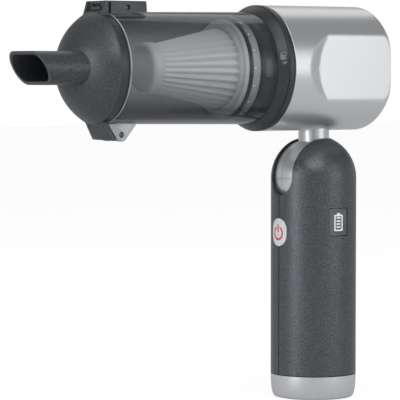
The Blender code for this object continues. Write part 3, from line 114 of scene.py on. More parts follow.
# Sizes of the shells
HOUSING_WALL = 2.0 * MM
REAR_ROUND = 4.5 * MM
REAR_OPENING_R = 25.5 * MM
FACET_DEPTH = 5.0 * MM
FACET_FLOOR_R = 28.1 * MM
FACET_FRONT = 18.4 * MM
FACET_SLOPE = 1.58
FACET_SOFTNESS = 0.9 * MM
COLLAR_RIM = 3.1 * MM
CUP_R_REAR = 29.6 * MM
CUP_R_FRONT = 28.5 * MM
CUP_WALL = 2.2 * MM
SPIGOT_GROOVE = 0.7 * MM
SPIGOT_R = 25.9 * MM
SPIGOT_WALL = 2.0 * MM
CAP_WALL = 2.2 * MM
BAND_LEN = 4.4 * MM
DOME_R = 32.5 * MM
NOZZLE_W = 35.0 * MM
NOZZLE_H = 17.0 * MM
NOZZLE_WALL = 1.7 * MM
NOZZLE_SCARF = 9.0 * MM
LATCH_HALF_W = 9.4 * MM
LUG_HALF_W = 8.0 * MM
KNUCKLE_HALF_W = 4.4 * MM
LUG_TIP_R = 3.5 * MM
LUG_LEN = 16.6 * MM
HANDLE_WALL = 2.4 * MM
SLOT_HALF_W = 9.0 * MM
DISC_R = 21.3 * MM
DISC_CROWN = 1.4 * MM
DISC_HALF_W = 8.5 * MM
DISC_CLEARANCE = 0.35 * MM
STEM_R = 8.25 * MM
SEAM = 0.6 * MM  # between the halves of the handle
ARM_SEAM = 0.2 * MM  # between the halves of the hinge disc
PLEATS = 29
PLEAT_DEPTH = 1.9 * MM
DISC_EDGE = 0.8 * MM  # the hinge disc's rim stops this short of its sides
ARM_WALL = 2.0 * MM
FILTER_BORE = 24.0 * MM  # through the filter's ring and gasket
BASE_FLAT_R = 18.5 * MM
BRACKET_SKIN = 1.9 * MM
BUTTON_FLANGE = 0.9 * MM
CAP_PIN_BORE = 1.6 * MM
SCREW_HEAD_R = 2.5 * MM
SCREW_WELL_R = 2.8 * MM
CROSS_HALF_W = 0.28 * MM  # cross recess in a screw head
CROSS_DEPTH = 0.5 * MM
PRINT_DEPTH = 0.05 * MM

PROUD = 0.03 * MM  # a thin trim stands this far out of the shell under it

# Reach of the shapes that only cut
PIN_REACH = 20 * MM
WALL_FROM, WALL_TO = 15 * MM, 40 * MM  # through one side of the handle, from its middle
FAR_OUT = 60 * MM


# Making meshes


def rounded(outline, radius, count=4, closed=True):
    """The outline with each corner replaced by an arc. The radius is one number, or one for each point."""
    points = [Vector(point) for point in outline]
    radii = radius if isinstance(radius, (list, tuple)) else [radius] * len(points)
    made = []
    for index, point in enumerate(points):
        before = points[index - 1] - point
        after = points[(index + 1) % len(points)] - point
        at_end = not closed and index in (0, len(points) - 1)
        if at_end or radii[index] == 0 or before.length < 1e-9 or after.length < 1e-9:
            made.append(tuple(point))
            continue
        half_angle = before.angle(after) / 2
        if half_angle > math.radians(88):
            made.append(tuple(point))
            continue
        reach = min(radii[index] / math.tan(half_angle), before.length * 0.49, after.length * 0.49)
        start = point + before.normalized() * reach
        end = point + after.normalized() * reach
        for step in range(count + 1):
            share = step / count
            made.append(tuple((1 - share) ** 2 * start + 2 * share * (1 - share) * point + share**2 * end))
    return made


def arc(centre, radius, start, end, count):
    """Points on an arc, angles in degrees."""
    angles = [math.radians(start + (end - start) * index / count) for index in range(count + 1)]
    return [(centre[0] + radius * math.cos(a), centre[1] + radius * math.sin(a)) for a in angles]


def ring_sector(centre, inner, outer, start, end, count=40):
    return arc(centre, outer, start, end, count) + arc(centre, inner, end, start, count)


def rectangle(left, low, right, high, corner=0.0, count=4):
    outline = [(left, low), (right, low), (right, high), (left, high)]
    return rounded(outline, corner, count) if corner else outline


def stadium(width, height, count=24):
    """A flat slot outline, with half-round ends."""
    end = (width - height) / 2
    return arc((end, 0), height / 2, -90, 90, count) + arc((-end, 0), height / 2, 90, 270, count)


def add_mesh(name, shape, merge=1e-6):
    bmesh.ops.remove_doubles(shape, verts=shape.verts, dist=merge)
    bmesh.ops.recalc_face_normals(shape, faces=shape.faces)
    mesh = bpy.data.meshes.new(name)
    shape.to_mesh(mesh)
    shape.free()
    obj = bpy.data.objects.new(name, mesh)
    bpy.context.scene.collection.objects.link(obj)
    return obj


def placed(along, origin, radius, angle, place):
    across, up = radius * math.cos(angle), radius * math.sin(angle)
    local = {"X": (place, across, up), "Y": (across, place, up), "Z": (across, up, place)}[along]
    return Vector(origin) + Vector(local)


def revolved(name, profile, along="X", origin=AXIS, steps=FINE, reshape=None):
    """A turned shell from a closed loop of (radius, place). reshape changes a radius by place and angle."""
    shape = bmesh.new()
    rings = []
    for number, (radius, place) in enumerate(profile):
        ring = []
        for step in range(steps):
            angle = 2 * math.pi * step / steps
            local = reshape(number, radius, place, angle) if reshape else radius
            ring.append(shape.verts.new(placed(along, origin, local, angle, place)))
        rings.append(ring)
    for number, ring in enumerate(rings):
        following = rings[(number + 1) % len(rings)]
        if profile[number][0] < 1e-9 and profile[(number + 1) % len(rings)][0] < 1e-9:
            continue
        for step in range(steps):
            after = (step + 1) % steps
            shape.faces.new((ring[step], ring[after], following[after], following[step]))
    return add_mesh(name, shape)


def rod(name, radius, low, high, along="X", origin=AXIS, steps=SMALL, edge=0.0):
    profile = [(0, low), (radius, low), (radius, high), (0, high)]
    return revolved(name, rounded(profile, edge, 3, closed=False) if edge else profile, along, origin, steps)


def hoop(name, inner_r, outer_r, first, last, edge, count):
    """A plain ring round the body axis, with rounded corners, between two places on it."""
    corners = [(inner_r, first), (outer_r, first), (outer_r, last), (inner_r, last)]
    return revolved(name, rounded(corners, edge, count))


def slab(name, outline, low, high, facing="Y", origin=ORIGIN, edge=0.0):
    """A flat outline with a thickness and rounded rims. Facing Y draws in X and Z, facing X in Y and Z."""
    shape = bmesh.new()
    to_space = {
        "X": lambda a, b, t: (t, a, b),
        "Y": lambda a, b, t: (a, t, b),
        "Z": lambda a, b, t: (a, b, t),
    }[facing]
    ends = []
    for place in (low, high):
        ends.append([shape.verts.new(Vector(origin) + Vector(to_space(a, b, place))) for a, b in outline])
    caps = [shape.faces.new(ends[0]), shape.faces.new(ends[1][::-1])]
    for index in range(len(outline)):
        after = (index + 1) % len(outline)
        shape.faces.new((ends[0][index], ends[0][after], ends[1][after], ends[1][index]))
    bmesh.ops.recalc_face_normals(shape, faces=shape.faces)
    if edge:
        rims = [line for line in shape.edges if any(face in caps for face in line.link_faces)]
        bmesh.ops.bevel(
            shape, geom=rims, offset=edge, segments=3, profile=0.5, affect="EDGES", clamp_overlap=True
        )
    return add_mesh(name, shape)


def block(name, low, high, edge=0.0):
    outline = rectangle(low[0], low[2], high[0], high[2], edge, 3)
    return slab(name, outline, low[1], high[1], "Y", edge=edge)


def combined(target, operation, *tools):
    """Booleans, applied, with the tools removed."""
    for tool in tools:
        change = target.modifiers.new("boolean", "BOOLEAN")
        change.operation = operation
        change.solver = "EXACT"
        change.object = tool
        bpy.context.view_layer.update()
        mesh = bpy.data.meshes.new_from_object(target.evaluated_get(bpy.context.evaluated_depsgraph_get()))
        target.modifiers.clear()
        target.data = mesh
        bpy.data.objects.remove(tool, do_unlink=True)
    return target


def cut(target, *tools):
    return combined(target, "DIFFERENCE", *tools)


def join(target, *tools):
    return combined(target, "UNION", *tools)


def keep(target, *tools):
    return combined(target, "INTERSECT", *tools)


def keep_half(target, sign, seam):
    """Keeps one side of the middle plane, short of it by half a seam."""
    near, far = sorted((sign * seam / 2, sign * FAR_OUT))
    return keep(target, block("half_space", (-100 * MM, near, 0), (100 * MM, far, 300 * MM)))


def pin_bore(target, radius, centre):
    return cut(target, rod("bore", radius, -PIN_REACH, PIN_REACH, "Y", centre, SMALL))


def soften(target, width, segments):
    """Rounds the sharp rims, as a modifier."""
    change = target.modifiers.new("soft_rim", "BEVEL")
    change.width = width
    change.segments = segments
    change.limit_method = "ANGLE"
    change.angle_limit = math.radians(50)


def spread(name, size, radius, count, start=0.0, low=0.0, origin=AXIS):
    """Boxes spread round the X axis. Size is (radial, tangential, axial)."""
    shape = bmesh.new()
    for index in range(count):
        turn = Matrix.Rotation(start + 2 * math.pi * index / count, 4, "X")
        shift = Matrix.Translation((low + size[2] / 2, radius, 0))
        matrix = Matrix.Translation(origin) @ turn @ shift @ Matrix.Diagonal((size[2], size[0], size[1], 1))
        bmesh.ops.create_cube(shape, size=1, matrix=matrix)
    return add_mesh(name, shape)


def finished(obj, finish, body, slot_name, *nodes, angle=32):
    """Shades and paints a piece, lets it ride on its body and stand for its CAD nodes."""
    obj.data.materials.clear()
    obj.data.materials.append(finish)
    obj.data.shade_smooth()
    obj.data.set_sharp_from_angle(angle=math.radians(angle))
    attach(obj, body)
    if nodes:
        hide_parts(*nodes)
    return obj


# Materials


class Nodes:
    """A short way to add nodes to a tree."""

    def __init__(self, tree):
        self.tree = tree

    def node(self, kind, inputs=None, **values):
        """A new node. An input given as a socket is linked to it, and any other is set."""
        made = self.tree.nodes.new(kind)
        for name, value in values.items():
            setattr(made, name, value)
        for name, value in (inputs or {}).items():
            if isinstance(value, bpy.types.NodeSocket):
                self.tree.links.new(value, made.inputs[name])
            else:
                made.inputs[name].default_value = value
        return made

    def seen_directly(self):
        """A value of 1 for camera and transmission rays, with the light path that it comes from."""
        path = self.node("ShaderNodeLightPath").outputs
        rays = {0: path["Is Camera Ray"], 1: path["Is Transmission Ray"]}
        return self.node("ShaderNodeMath", rays, operation="MAXIMUM").outputs[0], path

    def mixed_shader(self, factor, first, second):
        return self.node("ShaderNodeMixShader", {"Fac": factor, 1: first, 2: second}).outputs[0]


class Finish(Nodes):
    """A Principled material with a few short ways to add texture, all in the piece's own coordinates."""

    def __init__(self, name, colour, roughness, metallic=0.0):
        self.material = bpy.data.materials.new(name)
        self.material.use_nodes = True
        super().__init__(self.material.node_tree)
        self.shader = self.tree.nodes["Principled BSDF"]
        self.set("Base Color", (*colour, 1))
        self.set("Roughness", roughness)
        self.set("Metallic", metallic)
        self.place = self.node("ShaderNodeTexCoord").outputs["Object"]
        self.height = None

    def set(self, name, value):
        self.shader.inputs[name].default_value = value

    def drive(self, name, source):
        self.tree.links.new(source, self.shader.inputs[name])

    def noise(self, scale, detail=2.0, roughness=0.5):
        inputs = {"Scale": scale, "Detail": detail, "Roughness": roughness, "Vector": self.place}
        return self.node("ShaderNodeTexNoise", inputs).outputs["Fac"]

    def waves(self, scale, turn, distortion=0.0):
        """Parallel fine bands, turned by the three angles given."""
        turned = self.node("ShaderNodeMapping", {"Rotation": turn, "Vector": self.place}).outputs["Vector"]
        inputs = {"Scale": scale, "Distortion": distortion, "Vector": turned}
        return self.node("ShaderNodeTexWave", inputs).outputs["Fac"]

    def ranged(self, factor, low, high, start=0.3, end=0.7):
        inputs = {"From Min": start, "From Max": end, "To Min": low, "To Max": high, "Value": factor}
        return self.node("ShaderNodeMapRange", inputs).outputs["Result"]

    def colour(self, factor, low, high, start=0.3, end=0.7):
        """A base colour between low and high by the factor."""
        inputs = {"A": (*low, 1), "B": (*high, 1), "Factor": self.ranged(factor, 0, 1, start, end)}
        self.drive("Base Color", self.node("ShaderNodeMix", inputs, data_type="RGBA").outputs["Result"])

    def rough(self, factor, low, high):
        self.drive("Roughness", self.ranged(factor, low, high))

    def bump(self, factor, strength, distance):
        """Adds to the bumps that are there already."""
        inputs = {"Strength": strength, "Distance": distance, "Height": factor}
        if self.height is not None:
            inputs["Normal"] = self.height
        self.height = self.node("ShaderNodeBump", inputs).outputs["Normal"]
        self.drive("Normal", self.height)


def speckled_plastic(name, dark, light, roughness, metallic, grain=3300):
    """Dark plastic with fine metallic flakes."""
    made = Finish(name, dark, roughness, metallic)
    flakes = made.noise(grain, 1.0, 0.6)
    made.colour(flakes, dark, light, 0.38, 0.68)
    made.rough(made.noise(grain * 0.7), roughness - 0.08, roughness + 0.1)
    made.bump(flakes, 0.35, 0.05 * MM)
    return made.material


def smooth_plastic(name, colour, roughness):
    """Moulded plastic with a faint grain and slight changes of tone."""
    made = Finish(name, colour, roughness)
    tone = made.noise(60, 3.0)
    made.colour(tone, tuple(0.9 * c for c in colour), tuple(1.1 * c for c in colour))
    made.rough(made.noise(300), roughness - 0.05, roughness + 0.06)
    made.bump(made.noise(2400), 0.12, 0.03 * MM)
    return made.material


def satin_paint(name, colour, roughness):
    """Silver paint: very fine flakes under a satin surface."""
    made = Finish(name, colour, roughness, 0.82)
    flakes = made.noise(4200, 1.0)
    made.colour(flakes, tuple(0.93 * c for c in colour), tuple(min(1.0, 1.05 * c) for c in colour))
    made.rough(made.noise(1500), roughness - 0.03, roughness + 0.04)
    made.bump(flakes, 0.1, 0.015 * MM)
    return made.material


def brushed_metal(name, colour, roughness):
    made = Finish(name, colour, roughness, 1.0)
    grain = made.noise(900, 4.0, 0.7)
    made.colour(grain, tuple(0.85 * c for c in colour), colour)
    made.rough(grain, roughness - 0.06, roughness + 0.12)
    made.bump(grain, 0.12, 0.02 * MM)
    return made.material


def clear_smoke(name, nearest, edge_on):
    """Smoky clear plastic. It lets less through where it is seen edge-on."""
    made = Finish(name, (0.03, 0.034, 0.039), 0.12)
    made.set("IOR", 1.5)
    facing = made.node("ShaderNodeLayerWeight", {"Blend": 0.5}).outputs["Facing"]
    made.drive("Alpha", made.ranged(facing, nearest, edge_on, 0.0, 0.7))
    made.rough(made.noise(80), 0.08, 0.16)
    return made.material


def clear_lug():
    """The thicker clear hinge lugs, which look pale because light gathers in them."""
    made = Finish("clear_lug", (0.42, 0.44, 0.46), 0.18)
    made.set("Alpha", 0.72)
    tone = made.noise(120)
    made.colour(tone, (0.36, 0.38, 0.40), (0.50, 0.52, 0.54))
    made.rough(made.noise(200), 0.12, 0.24)
    return made.material


def frosted(name, low, high, roughness=0.42):
    made = Finish(name, high, roughness)
    made.set("Subsurface Weight", 0.25)
    made.set("Subsurface Radius", (2 * MM, 2 * MM, 2 * MM))
    made.colour(made.noise(90, 3.0), low, high)
    made.bump(made.noise(1800), 0.15, 0.03 * MM)
    return made.material


def filter_cloth():
    """Off-white filter cloth with a fine twill."""
    made = Finish("filter_cloth", (0.86, 0.86, 0.87), 0.9)
    twill = made.waves(900, (math.radians(45), 0, math.radians(25)), 0.6)
    cross = made.waves(650, (math.radians(-45), 0, math.radians(25)), 0.6)
    made.colour(twill, (0.78, 0.78, 0.79), (0.93, 0.93, 0.94), 0.1, 0.9)
    made.bump(twill, 0.5, 0.06 * MM)
    made.bump(cross, 0.3, 0.05 * MM)
    made.bump(made.noise(1400, 3.0), 0.3, 0.05 * MM)
    return made.material


def foam_finish():
    made = Finish("open_foam", (0.12, 0.12, 0.125), 0.95)
    cells = made.node("ShaderNodeTexVoronoi", {"Scale": 900, "Vector": made.place}).outputs["Distance"]
    # Painted shade: the foam is darker at the cell centres, where the bump sinks the pores in.
    made.colour(cells, (0.03, 0.03, 0.03), (0.17, 0.17, 0.175), 0.1, 0.6)
    made.bump(cells, 0.8, 0.4 * MM)
    return made.material


def board_finish():
    """Green solder mask with a pattern of tracks."""
    made = Finish("solder_mask", (0.02, 0.15, 0.06), 0.4)
    tracks = made.waves(180, (0, 0, math.radians(90)), 2.0)
    made.colour(tracks, (0.012, 0.10, 0.04), (0.03, 0.19, 0.08), 0.4, 0.6)
    made.bump(tracks, 0.3, 0.05 * MM)
    return made.material


GREY = speckled_plastic("speckled_dark_plastic", (0.034, 0.040, 0.045), (0.165, 0.180, 0.192), 0.36, 0.55)
CAP_GREY = speckled_plastic("speckled_cap_plastic", (0.024, 0.028, 0.031), (0.125, 0.133, 0.139), 0.40, 0.45)
COLLAR_GREY = speckled_plastic(
    "speckled_collar_plastic", (0.018, 0.021, 0.024), (0.075, 0.08, 0.085), 0.38, 0.4
)
BAND_GREY = smooth_plastic("smooth_dark_plastic", (0.028, 0.031, 0.034), 0.35)
BLACK = smooth_plastic("black_plastic", (0.022, 0.024, 0.026), 0.45)
SPIGOT_GREY = smooth_plastic("dark_smoke_plastic", (0.05, 0.055, 0.06), 0.35)
SPIGOT_PAD = smooth_plastic("pale_smoke_plastic", (0.16, 0.17, 0.175), 0.35)
RUBBER = smooth_plastic("black_rubber", (0.012, 0.012, 0.013), 0.75)
SILVER = satin_paint("satin_silver", (0.70, 0.705, 0.715), 0.32)
STEEL = brushed_metal("machined_steel", (0.55, 0.55, 0.56), 0.3)
DARK_STEEL = brushed_metal("dark_pin_steel", (0.10, 0.105, 0.11), 0.35)
BRONZE = brushed_metal("sintered_bronze", (0.50, 0.32, 0.15), 0.5)
SMOKE = clear_smoke("smoky_clear", 0.25, 0.80)
LUG = clear_lug()
FROST = frosted("frosted_plastic", (0.74, 0.75, 0.77), (0.84, 0.85, 0.86))
FROST_PALE = frosted("pale_frosted_plastic", (0.62, 0.63, 0.64), (0.74, 0.745, 0.755))
RIBBED = frosted("ribbed_clear_plastic", (0.52, 0.54, 0.55), (0.68, 0.70, 0.71), 0.3)
CLOTH = filter_cloth()
FOAM = foam_finish()
BUTTON = smooth_plastic("button_grey", (0.66, 0.67, 0.68), 0.4)
LENS = smooth_plastic("window_lens", (0.085, 0.09, 0.095), 0.22)
RED = smooth_plastic("red_print", (0.62, 0.02, 0.025), 0.5)
WHITE = smooth_plastic("white_print", (0.86, 0.87, 0.88), 0.5)
WRAP = smooth_plastic("cell_wrap", (0.03, 0.12, 0.34), 0.35)
BOARD = board_finish()
FERRITE = smooth_plastic("ferrite", (0.05, 0.05, 0.05), 0.7)


# Motor unit


def blended_minimum(a, b, softness):
    share = max(0.0, min(1.0, 0.5 + 0.5 * (b - a) / softness))
    return b * (1 - share) + a * share - softness * share * (1 - share)


def facet_limit(place, angle, inset):
    """Where the flat facet, or its sloping end, meets a line from the body axis at that angle."""
    across, up = abs(math.cos(angle)), math.sin(angle)
    if across < 0.05:
        return 2 * HOUSING_R
    floor = HOUSING_R - FACET_DEPTH - inset
    centre_x = X_HOUSING + FACET_FRONT + FACET_FLOOR_R
    radius = floor / across
    for _ in range(14):
        outside = math.hypot(place - centre_x, radius * up) - FACET_FLOOR_R
        radius = min(2 * HOUSING_R, (floor + max(0.0, outside / FACET_SLOPE)) / across)
    return radius


def motor_housing():
    """The silver barrel with a soft-edged facet on each side."""
    inner_r = HOUSING_R - HOUSING_WALL
    inner_x = X_REAR - HOUSING_WALL
    along = 70
    front_x = X_HOUSING + 0.8 * MM
    length = X_REAR - REAR_ROUND - X_HOUSING - 0.8 * MM
    outside = [(HOUSING_R, front_x + length * index / along) for index in range(along)]
    rear = arc((HOUSING_R - REAR_ROUND, X_REAR - REAR_ROUND), REAR_ROUND, 0, 90, 12)
    lip = rounded(
        [rear[-1], (REAR_OPENING_R, X_REAR), (REAR_OPENING_R, inner_x), (inner_r - 2 * MM, inner_x)],
        0.5 * MM,
        3,
        closed=False,
    )[1:]
    inner_length = inner_x - 2 * MM - X_HOUSING
    inside = [(inner_r, inner_x - 2 * MM - inner_length * index / along) for index in range(along + 1)]
    front = rounded([inside[-1], (HOUSING_R, X_HOUSING), outside[0]], 0.6 * MM, 4, closed=False)[1:-1]
    profile = outside + rear + lip + inside + front
    inner_from = len(outside) + len(rear) + len(lip) - 1
    inner_to = inner_from + len(inside)

    def with_facets(number, radius, place, angle):
        inset = HOUSING_WALL if inner_from <= number <= inner_to else 0.0
        return blended_minimum(radius, facet_limit(place, angle, inset), FACET_SOFTNESS)

    housing = revolved("motor_housing_shell", profile, steps=240, reshape=with_facets)
    stem_hole = rod("stem_hole", STEM_R + GAP, HOUSING_LOW.z - MM, BODY_Z - 20 * MM, "Z", ORIGIN, MEDIUM)
    cut(housing, stem_hole)
    finished(housing, SILVER, "motor_unit", "satin_silver", "motor_housing", angle=28)


def exhaust():
    """The slotted grille at the rear and the foam disc behind it."""
    disc_r = REAR_OPENING_R - GAP
    rim_r = GRILLE_HIGH.z - BODY_Z
    step_x = X_REAR - HOUSING_WALL - GAP
    outline = [(0, GRILLE_HIGH.x), (disc_r, GRILLE_HIGH.x), (disc_r, step_x)]
    outline += [(rim_r, step_x), (rim_r, GRILLE_LOW.x), (0, GRILLE_LOW.x)]
    grille = revolved("exhaust_grille_disc", rounded(outline, 0.3 * MM, 3, closed=False))
    depth = GRILLE_HIGH.x - GRILLE_LOW.x + 2 * MM
    low = GRILLE_LOW.x - MM
    cut(
        grille,
        spread("inner_slots", (7 * MM, 2 * MM, depth), 9.5 * MM, 8, low=low),
        spread("outer_slots", (7.5 * MM, 2.6 * MM, depth), 18.5 * MM, 16, low=low),
    )
    finished(grille, GREY, "motor_unit", "dark_grey_plastic", "exhaust_grille")
    foam_r = FOAM_HIGH.z - BODY_Z
    foam = rod("exhaust_foam_disc", foam_r, FOAM_LOW.x, FOAM_HIGH.x, steps=MEDIUM, edge=0.8 * MM)
    finished(foam, FOAM, "motor_unit", "grey_foam", "exhaust_foam")


def lock_collar():
    """Band, groove and cone between the housing and the container, with a small raised padlock sign."""
    rim_x = COLLAR_HIGH.x - COLLAR_RIM
    front_x = COLLAR_LOW.x
    inner = HOUSING_R - HOUSING_WALL
    nose_r = CUP_R_REAR + 0.1 * MM
    bore = SPIGOT_R + GAP
    groove = 0.35 * MM
    corners = [
        (inner, COLLAR_HIGH.x),
        (HOUSING_R, COLLAR_HIGH.x),
        (HOUSING_R, rim_x),
        (HOUSING_R - 2 * groove, rim_x - 0.2 * MM),
        (HOUSING_R - 2 * groove, rim_x - 0.5 * MM),
        (HOUSING_R - groove, rim_x - 0.7 * MM),
        (nose_r, front_x),
        (bore, front_x),
        (bore, front_x + HOUSING_WALL),
        (nose_r - 0.8 * MM, front_x + HOUSING_WALL),
        (inner, rim_x + 0.6 * MM),
    ]
    radii = [0.1, 0.3, 0.25, 0.1, 0.1, 0.2, 0.5, 0.2, 0.1, 0.1, 0.1]
    collar = revolved("lock_collar_ring", rounded(corners, [r * MM for r in radii], 4))
    finished(collar, COLLAR_GREY, "motor_unit", "dark_grey_plastic", "lock_collar")
    proud = 0.05 * MM
    ends = (COLLAR_HIGH.x - 0.35 * MM, rim_x + 0.3 * MM)
    band = hoop("collar_band", HOUSING_R - proud, HOUSING_R + proud, *ends, 0.03 * MM, 2)
    finished(band, BAND_GREY, "motor_unit", "dark_grey_plastic")
    lock_sign(nose_r, front_x, rim_x)


def lock_sign(nose_r, front_x, rim_x):
    """A raised padlock and arrow, wrapped on the collar's cone."""
    shackle = ring_sector((0, 1.2 * MM), 0.95 * MM, 1.5 * MM, -10, 190, 16)
    body = rectangle(-1.7 * MM, -1.6 * MM, 1.7 * MM, MM, 0.3 * MM)
    arrow = [(-1.4 * MM, -2.6 * MM), (1.4 * MM, -2.6 * MM), (0, -4.2 * MM)]
    depth = 0.12 * MM
    middle_x = (rim_x + front_x) / 2
    tilt = math.radians(11)
    for name, outline in {"body": body, "shackle": shackle, "arrow": arrow}.items():
        piece = slab(f"lock_sign_{name}", outline, -depth, depth, "X")
        for vertex in piece.data.vertices:
            height, across, up = vertex.co
            x = middle_x + across
            radius = nose_r + (HOUSING_R - nose_r) * (x - front_x) / (rim_x - front_x) + height
            turn = up / radius + tilt
            vertex.co = (x, -radius * math.cos(turn), BODY_Z + radius * math.sin(turn))
        finished(piece, SPIGOT_PAD, "motor_unit", "dark_grey_plastic")


def intake_spigot():
    """The dark sleeve inside the container's mouth, with its bayonet pads, seal and guard."""
    bore = SPIGOT_R - SPIGOT_WALL
    x = SPIGOT_LOW.x
    flange_x = SPIGOT_HIGH.x
    flange_r = HOUSING_R - HOUSING_WALL - GAP
    groove_r = SPIGOT_R - SPIGOT_GROOVE
    groove_front, groove_rear = x + 0.9 * MM, x + 2.7 * MM
    step_x = flange_x - 2.1 * MM
    corners = [(bore, flange_x), (flange_r, flange_x), (flange_r, step_x), (SPIGOT_R, step_x)]
    corners += [(SPIGOT_R, groove_rear), (groove_r, groove_rear), (groove_r, groove_front)]
    corners += [(SPIGOT_R, groove_front), (SPIGOT_R, x), (bore, x)]
    spigot = revolved("intake_spigot_sleeve", rounded(corners, 0.15 * MM, 3))
    ramp, ramp_x = (1.6 * MM, 7 * MM, 1.6 * MM), COLLAR_LOW.x - 5.6 * MM
    join(spigot, spread("ramps", ramp, SPIGOT_R, 3, start=-math.pi / 2, low=ramp_x))
    finished(spigot, SPIGOT_GREY, "motor_unit", "black_plastic", "intake_spigot")
    pad = (0.3 * MM, 9 * MM, 3.4 * MM)
    pads = spread("spigot_pads", pad, SPIGOT_R, 6, start=-math.pi / 3, low=x + 4.2 * MM)
    finished(pads, SPIGOT_PAD, "motor_unit", "black_plastic")
    low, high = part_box("spigot_seal")
    seal = hoop("spigot_seal_ring", groove_r + GAP, high.z - BODY_Z, low.x, high.x, 0.4 * MM, 4)
    finished(seal, RUBBER, "motor_unit", "black_rubber", "spigot_seal")
    radius = GUARD_HIGH.z - BODY_Z
    guard = rod("intake_guard_disc", radius, GUARD_LOW.x, GUARD_HIGH.x, steps=MEDIUM, edge=EDGE)
    slot = (14 * MM, 2.4 * MM, 6 * MM)
    cut(guard, spread("guard_slots", slot, 13.5 * MM, 12, start=0.1, low=GUARD_LOW.x - 2 * MM))
    finished(guard, BLACK, "motor_unit", "black_plastic", "intake_guard")


def crowned_rim(grown, count):
    """The hinge disc's rim from side to side, as (radius, place)."""
    half = DISC_HALF_W - DISC_EDGE
    places = [half - 2 * half * index / count for index in range(count + 1)]
    return [(DISC_R + grown - DISC_CROWN * (place / half) ** 2, place) for place in places]


def hinge_arms():
    """The two halves of the crowned disc and stem, with a fine seam between them."""
    rim = crowned_rim(0.0, 10)
    bore = 3.2 * MM
    edge_r = rim[0][0] - 0.9 * MM
    profile = [(bore, DISC_HALF_W), (edge_r, DISC_HALF_W)] + rim
    profile += [(edge_r, -DISC_HALF_W), (bore, -DISC_HALF_W)]
    half = DISC_HALF_W - ARM_WALL
    inner_r = DISC_R - DISC_CROWN - ARM_WALL
    hub_r = bore + ARM_WALL
    inside = [(inner_r, half), (inner_r, -half), (hub_r, -half), (hub_r, half)]
    channel_r, channel_low = STEM_R - 3 * MM, HINGE_Z + DISC_R * 0.5
    for side, sign in SIDES.items():
        arm = revolved(f"hinge_arm_{side}_half", rounded(profile, 0.35 * MM, 3), "Y", HINGE, FINE)
        stem = rod("stem", STEM_R, HINGE_Z + DISC_R * 0.6, ARM_HIGH.z, "Z", ORIGIN, MEDIUM)
        hollow = revolved("hollow", inside, "Y", HINGE, MEDIUM)
        channel = rod("channel", channel_r, channel_low, ARM_HIGH.z + MM, "Z", ORIGIN, SMALL)
        join(arm, stem)
        cut(arm, hollow, channel)
        keep_half(arm, sign, ARM_SEAM)
        finished(arm, SILVER, "motor_unit", "satin_silver", f"hinge_arm_{side}")


# Handle


def slot_space():
    """The stem's path through the handle."""
    up = rod("slot_up", SLOT_HALF_W, 0, 2 * HANDLE_R, "Z", HINGE, MEDIUM)
    forward = rod("slot_forward", SLOT_HALF_W, -2 * HANDLE_R, 0, "X", HINGE, MEDIUM)
    half = SLOT_HALF_W - 0.02 * MM
    quarter = block("quarter", (-2 * HANDLE_R, -half, HINGE_Z), (0, half, HINGE_Z + 2 * HANDLE_R))
    return join(up, forward, quarter)


def disc_pocket():
    side_y = DISC_HALF_W + DISC_CLEARANCE
    rim = crowned_rim(DISC_CLEARANCE, 8)
    profile = [(0, side_y), (rim[0][0], side_y)] + rim + [(rim[-1][0], -side_y), (0, -side_y)]
    return revolved("disc_pocket", profile, "Y", HINGE, FINE)


def button_outline(margin):
    """Racetrack in Y and Z round the button's centre."""
    wide = BUTTON_HIGH.y - BUTTON_LOW.y - 2 * BUTTON_FLANGE + 2 * margin
    tall = BUTTON_HIGH.z - BUTTON_LOW.z - 2 * BUTTON_FLANGE + 2 * margin
    return [(across, up) for up, across in stadium(tall, wide)]


def handle_shells():
    """Two speckled half shells with a fine parting line."""
    low = BASE_HIGH.z + GAP / 2 + 0.15 * MM
    bore_r = HANDLE_R - HANDLE_WALL
    outer = arc((0, HINGE_Z), HANDLE_R, 90, 0, 40)
    inner = arc((0, HINGE_Z), bore_r, 0, 90, 24)
    side = [(HANDLE_R, HINGE_Z - (HINGE_Z - low - 0.4 * MM) * index / 12) for index in range(1, 13)]
    foot = [(HANDLE_R, low + 0.5 * MM), (HANDLE_R, low), (bore_r, low), (bore_r, low + MM)]
    foot = rounded(foot, 0.3 * MM, 3, closed=False)
    half_w = (WINDOW_HIGH.x - WINDOW_LOW.x) / 2 + GAP
    half_h = (WINDOW_HIGH.z - WINDOW_LOW.z) / 2 + GAP
    window = rectangle(-half_w, -half_h, half_w, half_h, 0.7 * MM, 5)
    socket = stadium(SOCKET_HIGH.y - SOCKET_LOW.y + 2 * GAP, SOCKET_HIGH.z - SOCKET_LOW.z + 2 * GAP)
    for side_name, sign in SIDES.items():
        shell = revolved(f"handle_shell_{side_name}_half", outer + side + foot[1:] + inner, "Z", ORIGIN)
        keep_half(shell, sign, SEAM)
        cut(
            shell,
            slot_space(),
            disc_pocket(),
            slab("button_hole", button_outline(GAP), -WALL_TO, -WALL_FROM, "X", BUTTON_MIDDLE),
            slab("window_hole", window, -WALL_TO, -WALL_FROM, "Y", WINDOW_MIDDLE),
            slab("socket_hole", socket, WALL_FROM, WALL_TO, "X", (0, 0, SOCKET_Z)),
        )
        if sign > 0:
            for place in screw_places():
                cut(shell, rod("screw_well", SCREW_WELL_R, 13.5 * MM, WALL_TO, "Y", place, SMALL))
        finished(shell, GREY, "handle", "dark_grey_plastic", f"handle_shell_{side_name}", angle=40)


def screw_places():
    """Centres of the two handle screws, from the frame."""
    places = []
    for number in (1, 2):
        low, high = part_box(f"handle_screw_{number}")
        places.append(((low.x + high.x) / 2, 0, (low.z + high.z) / 2))
    return places


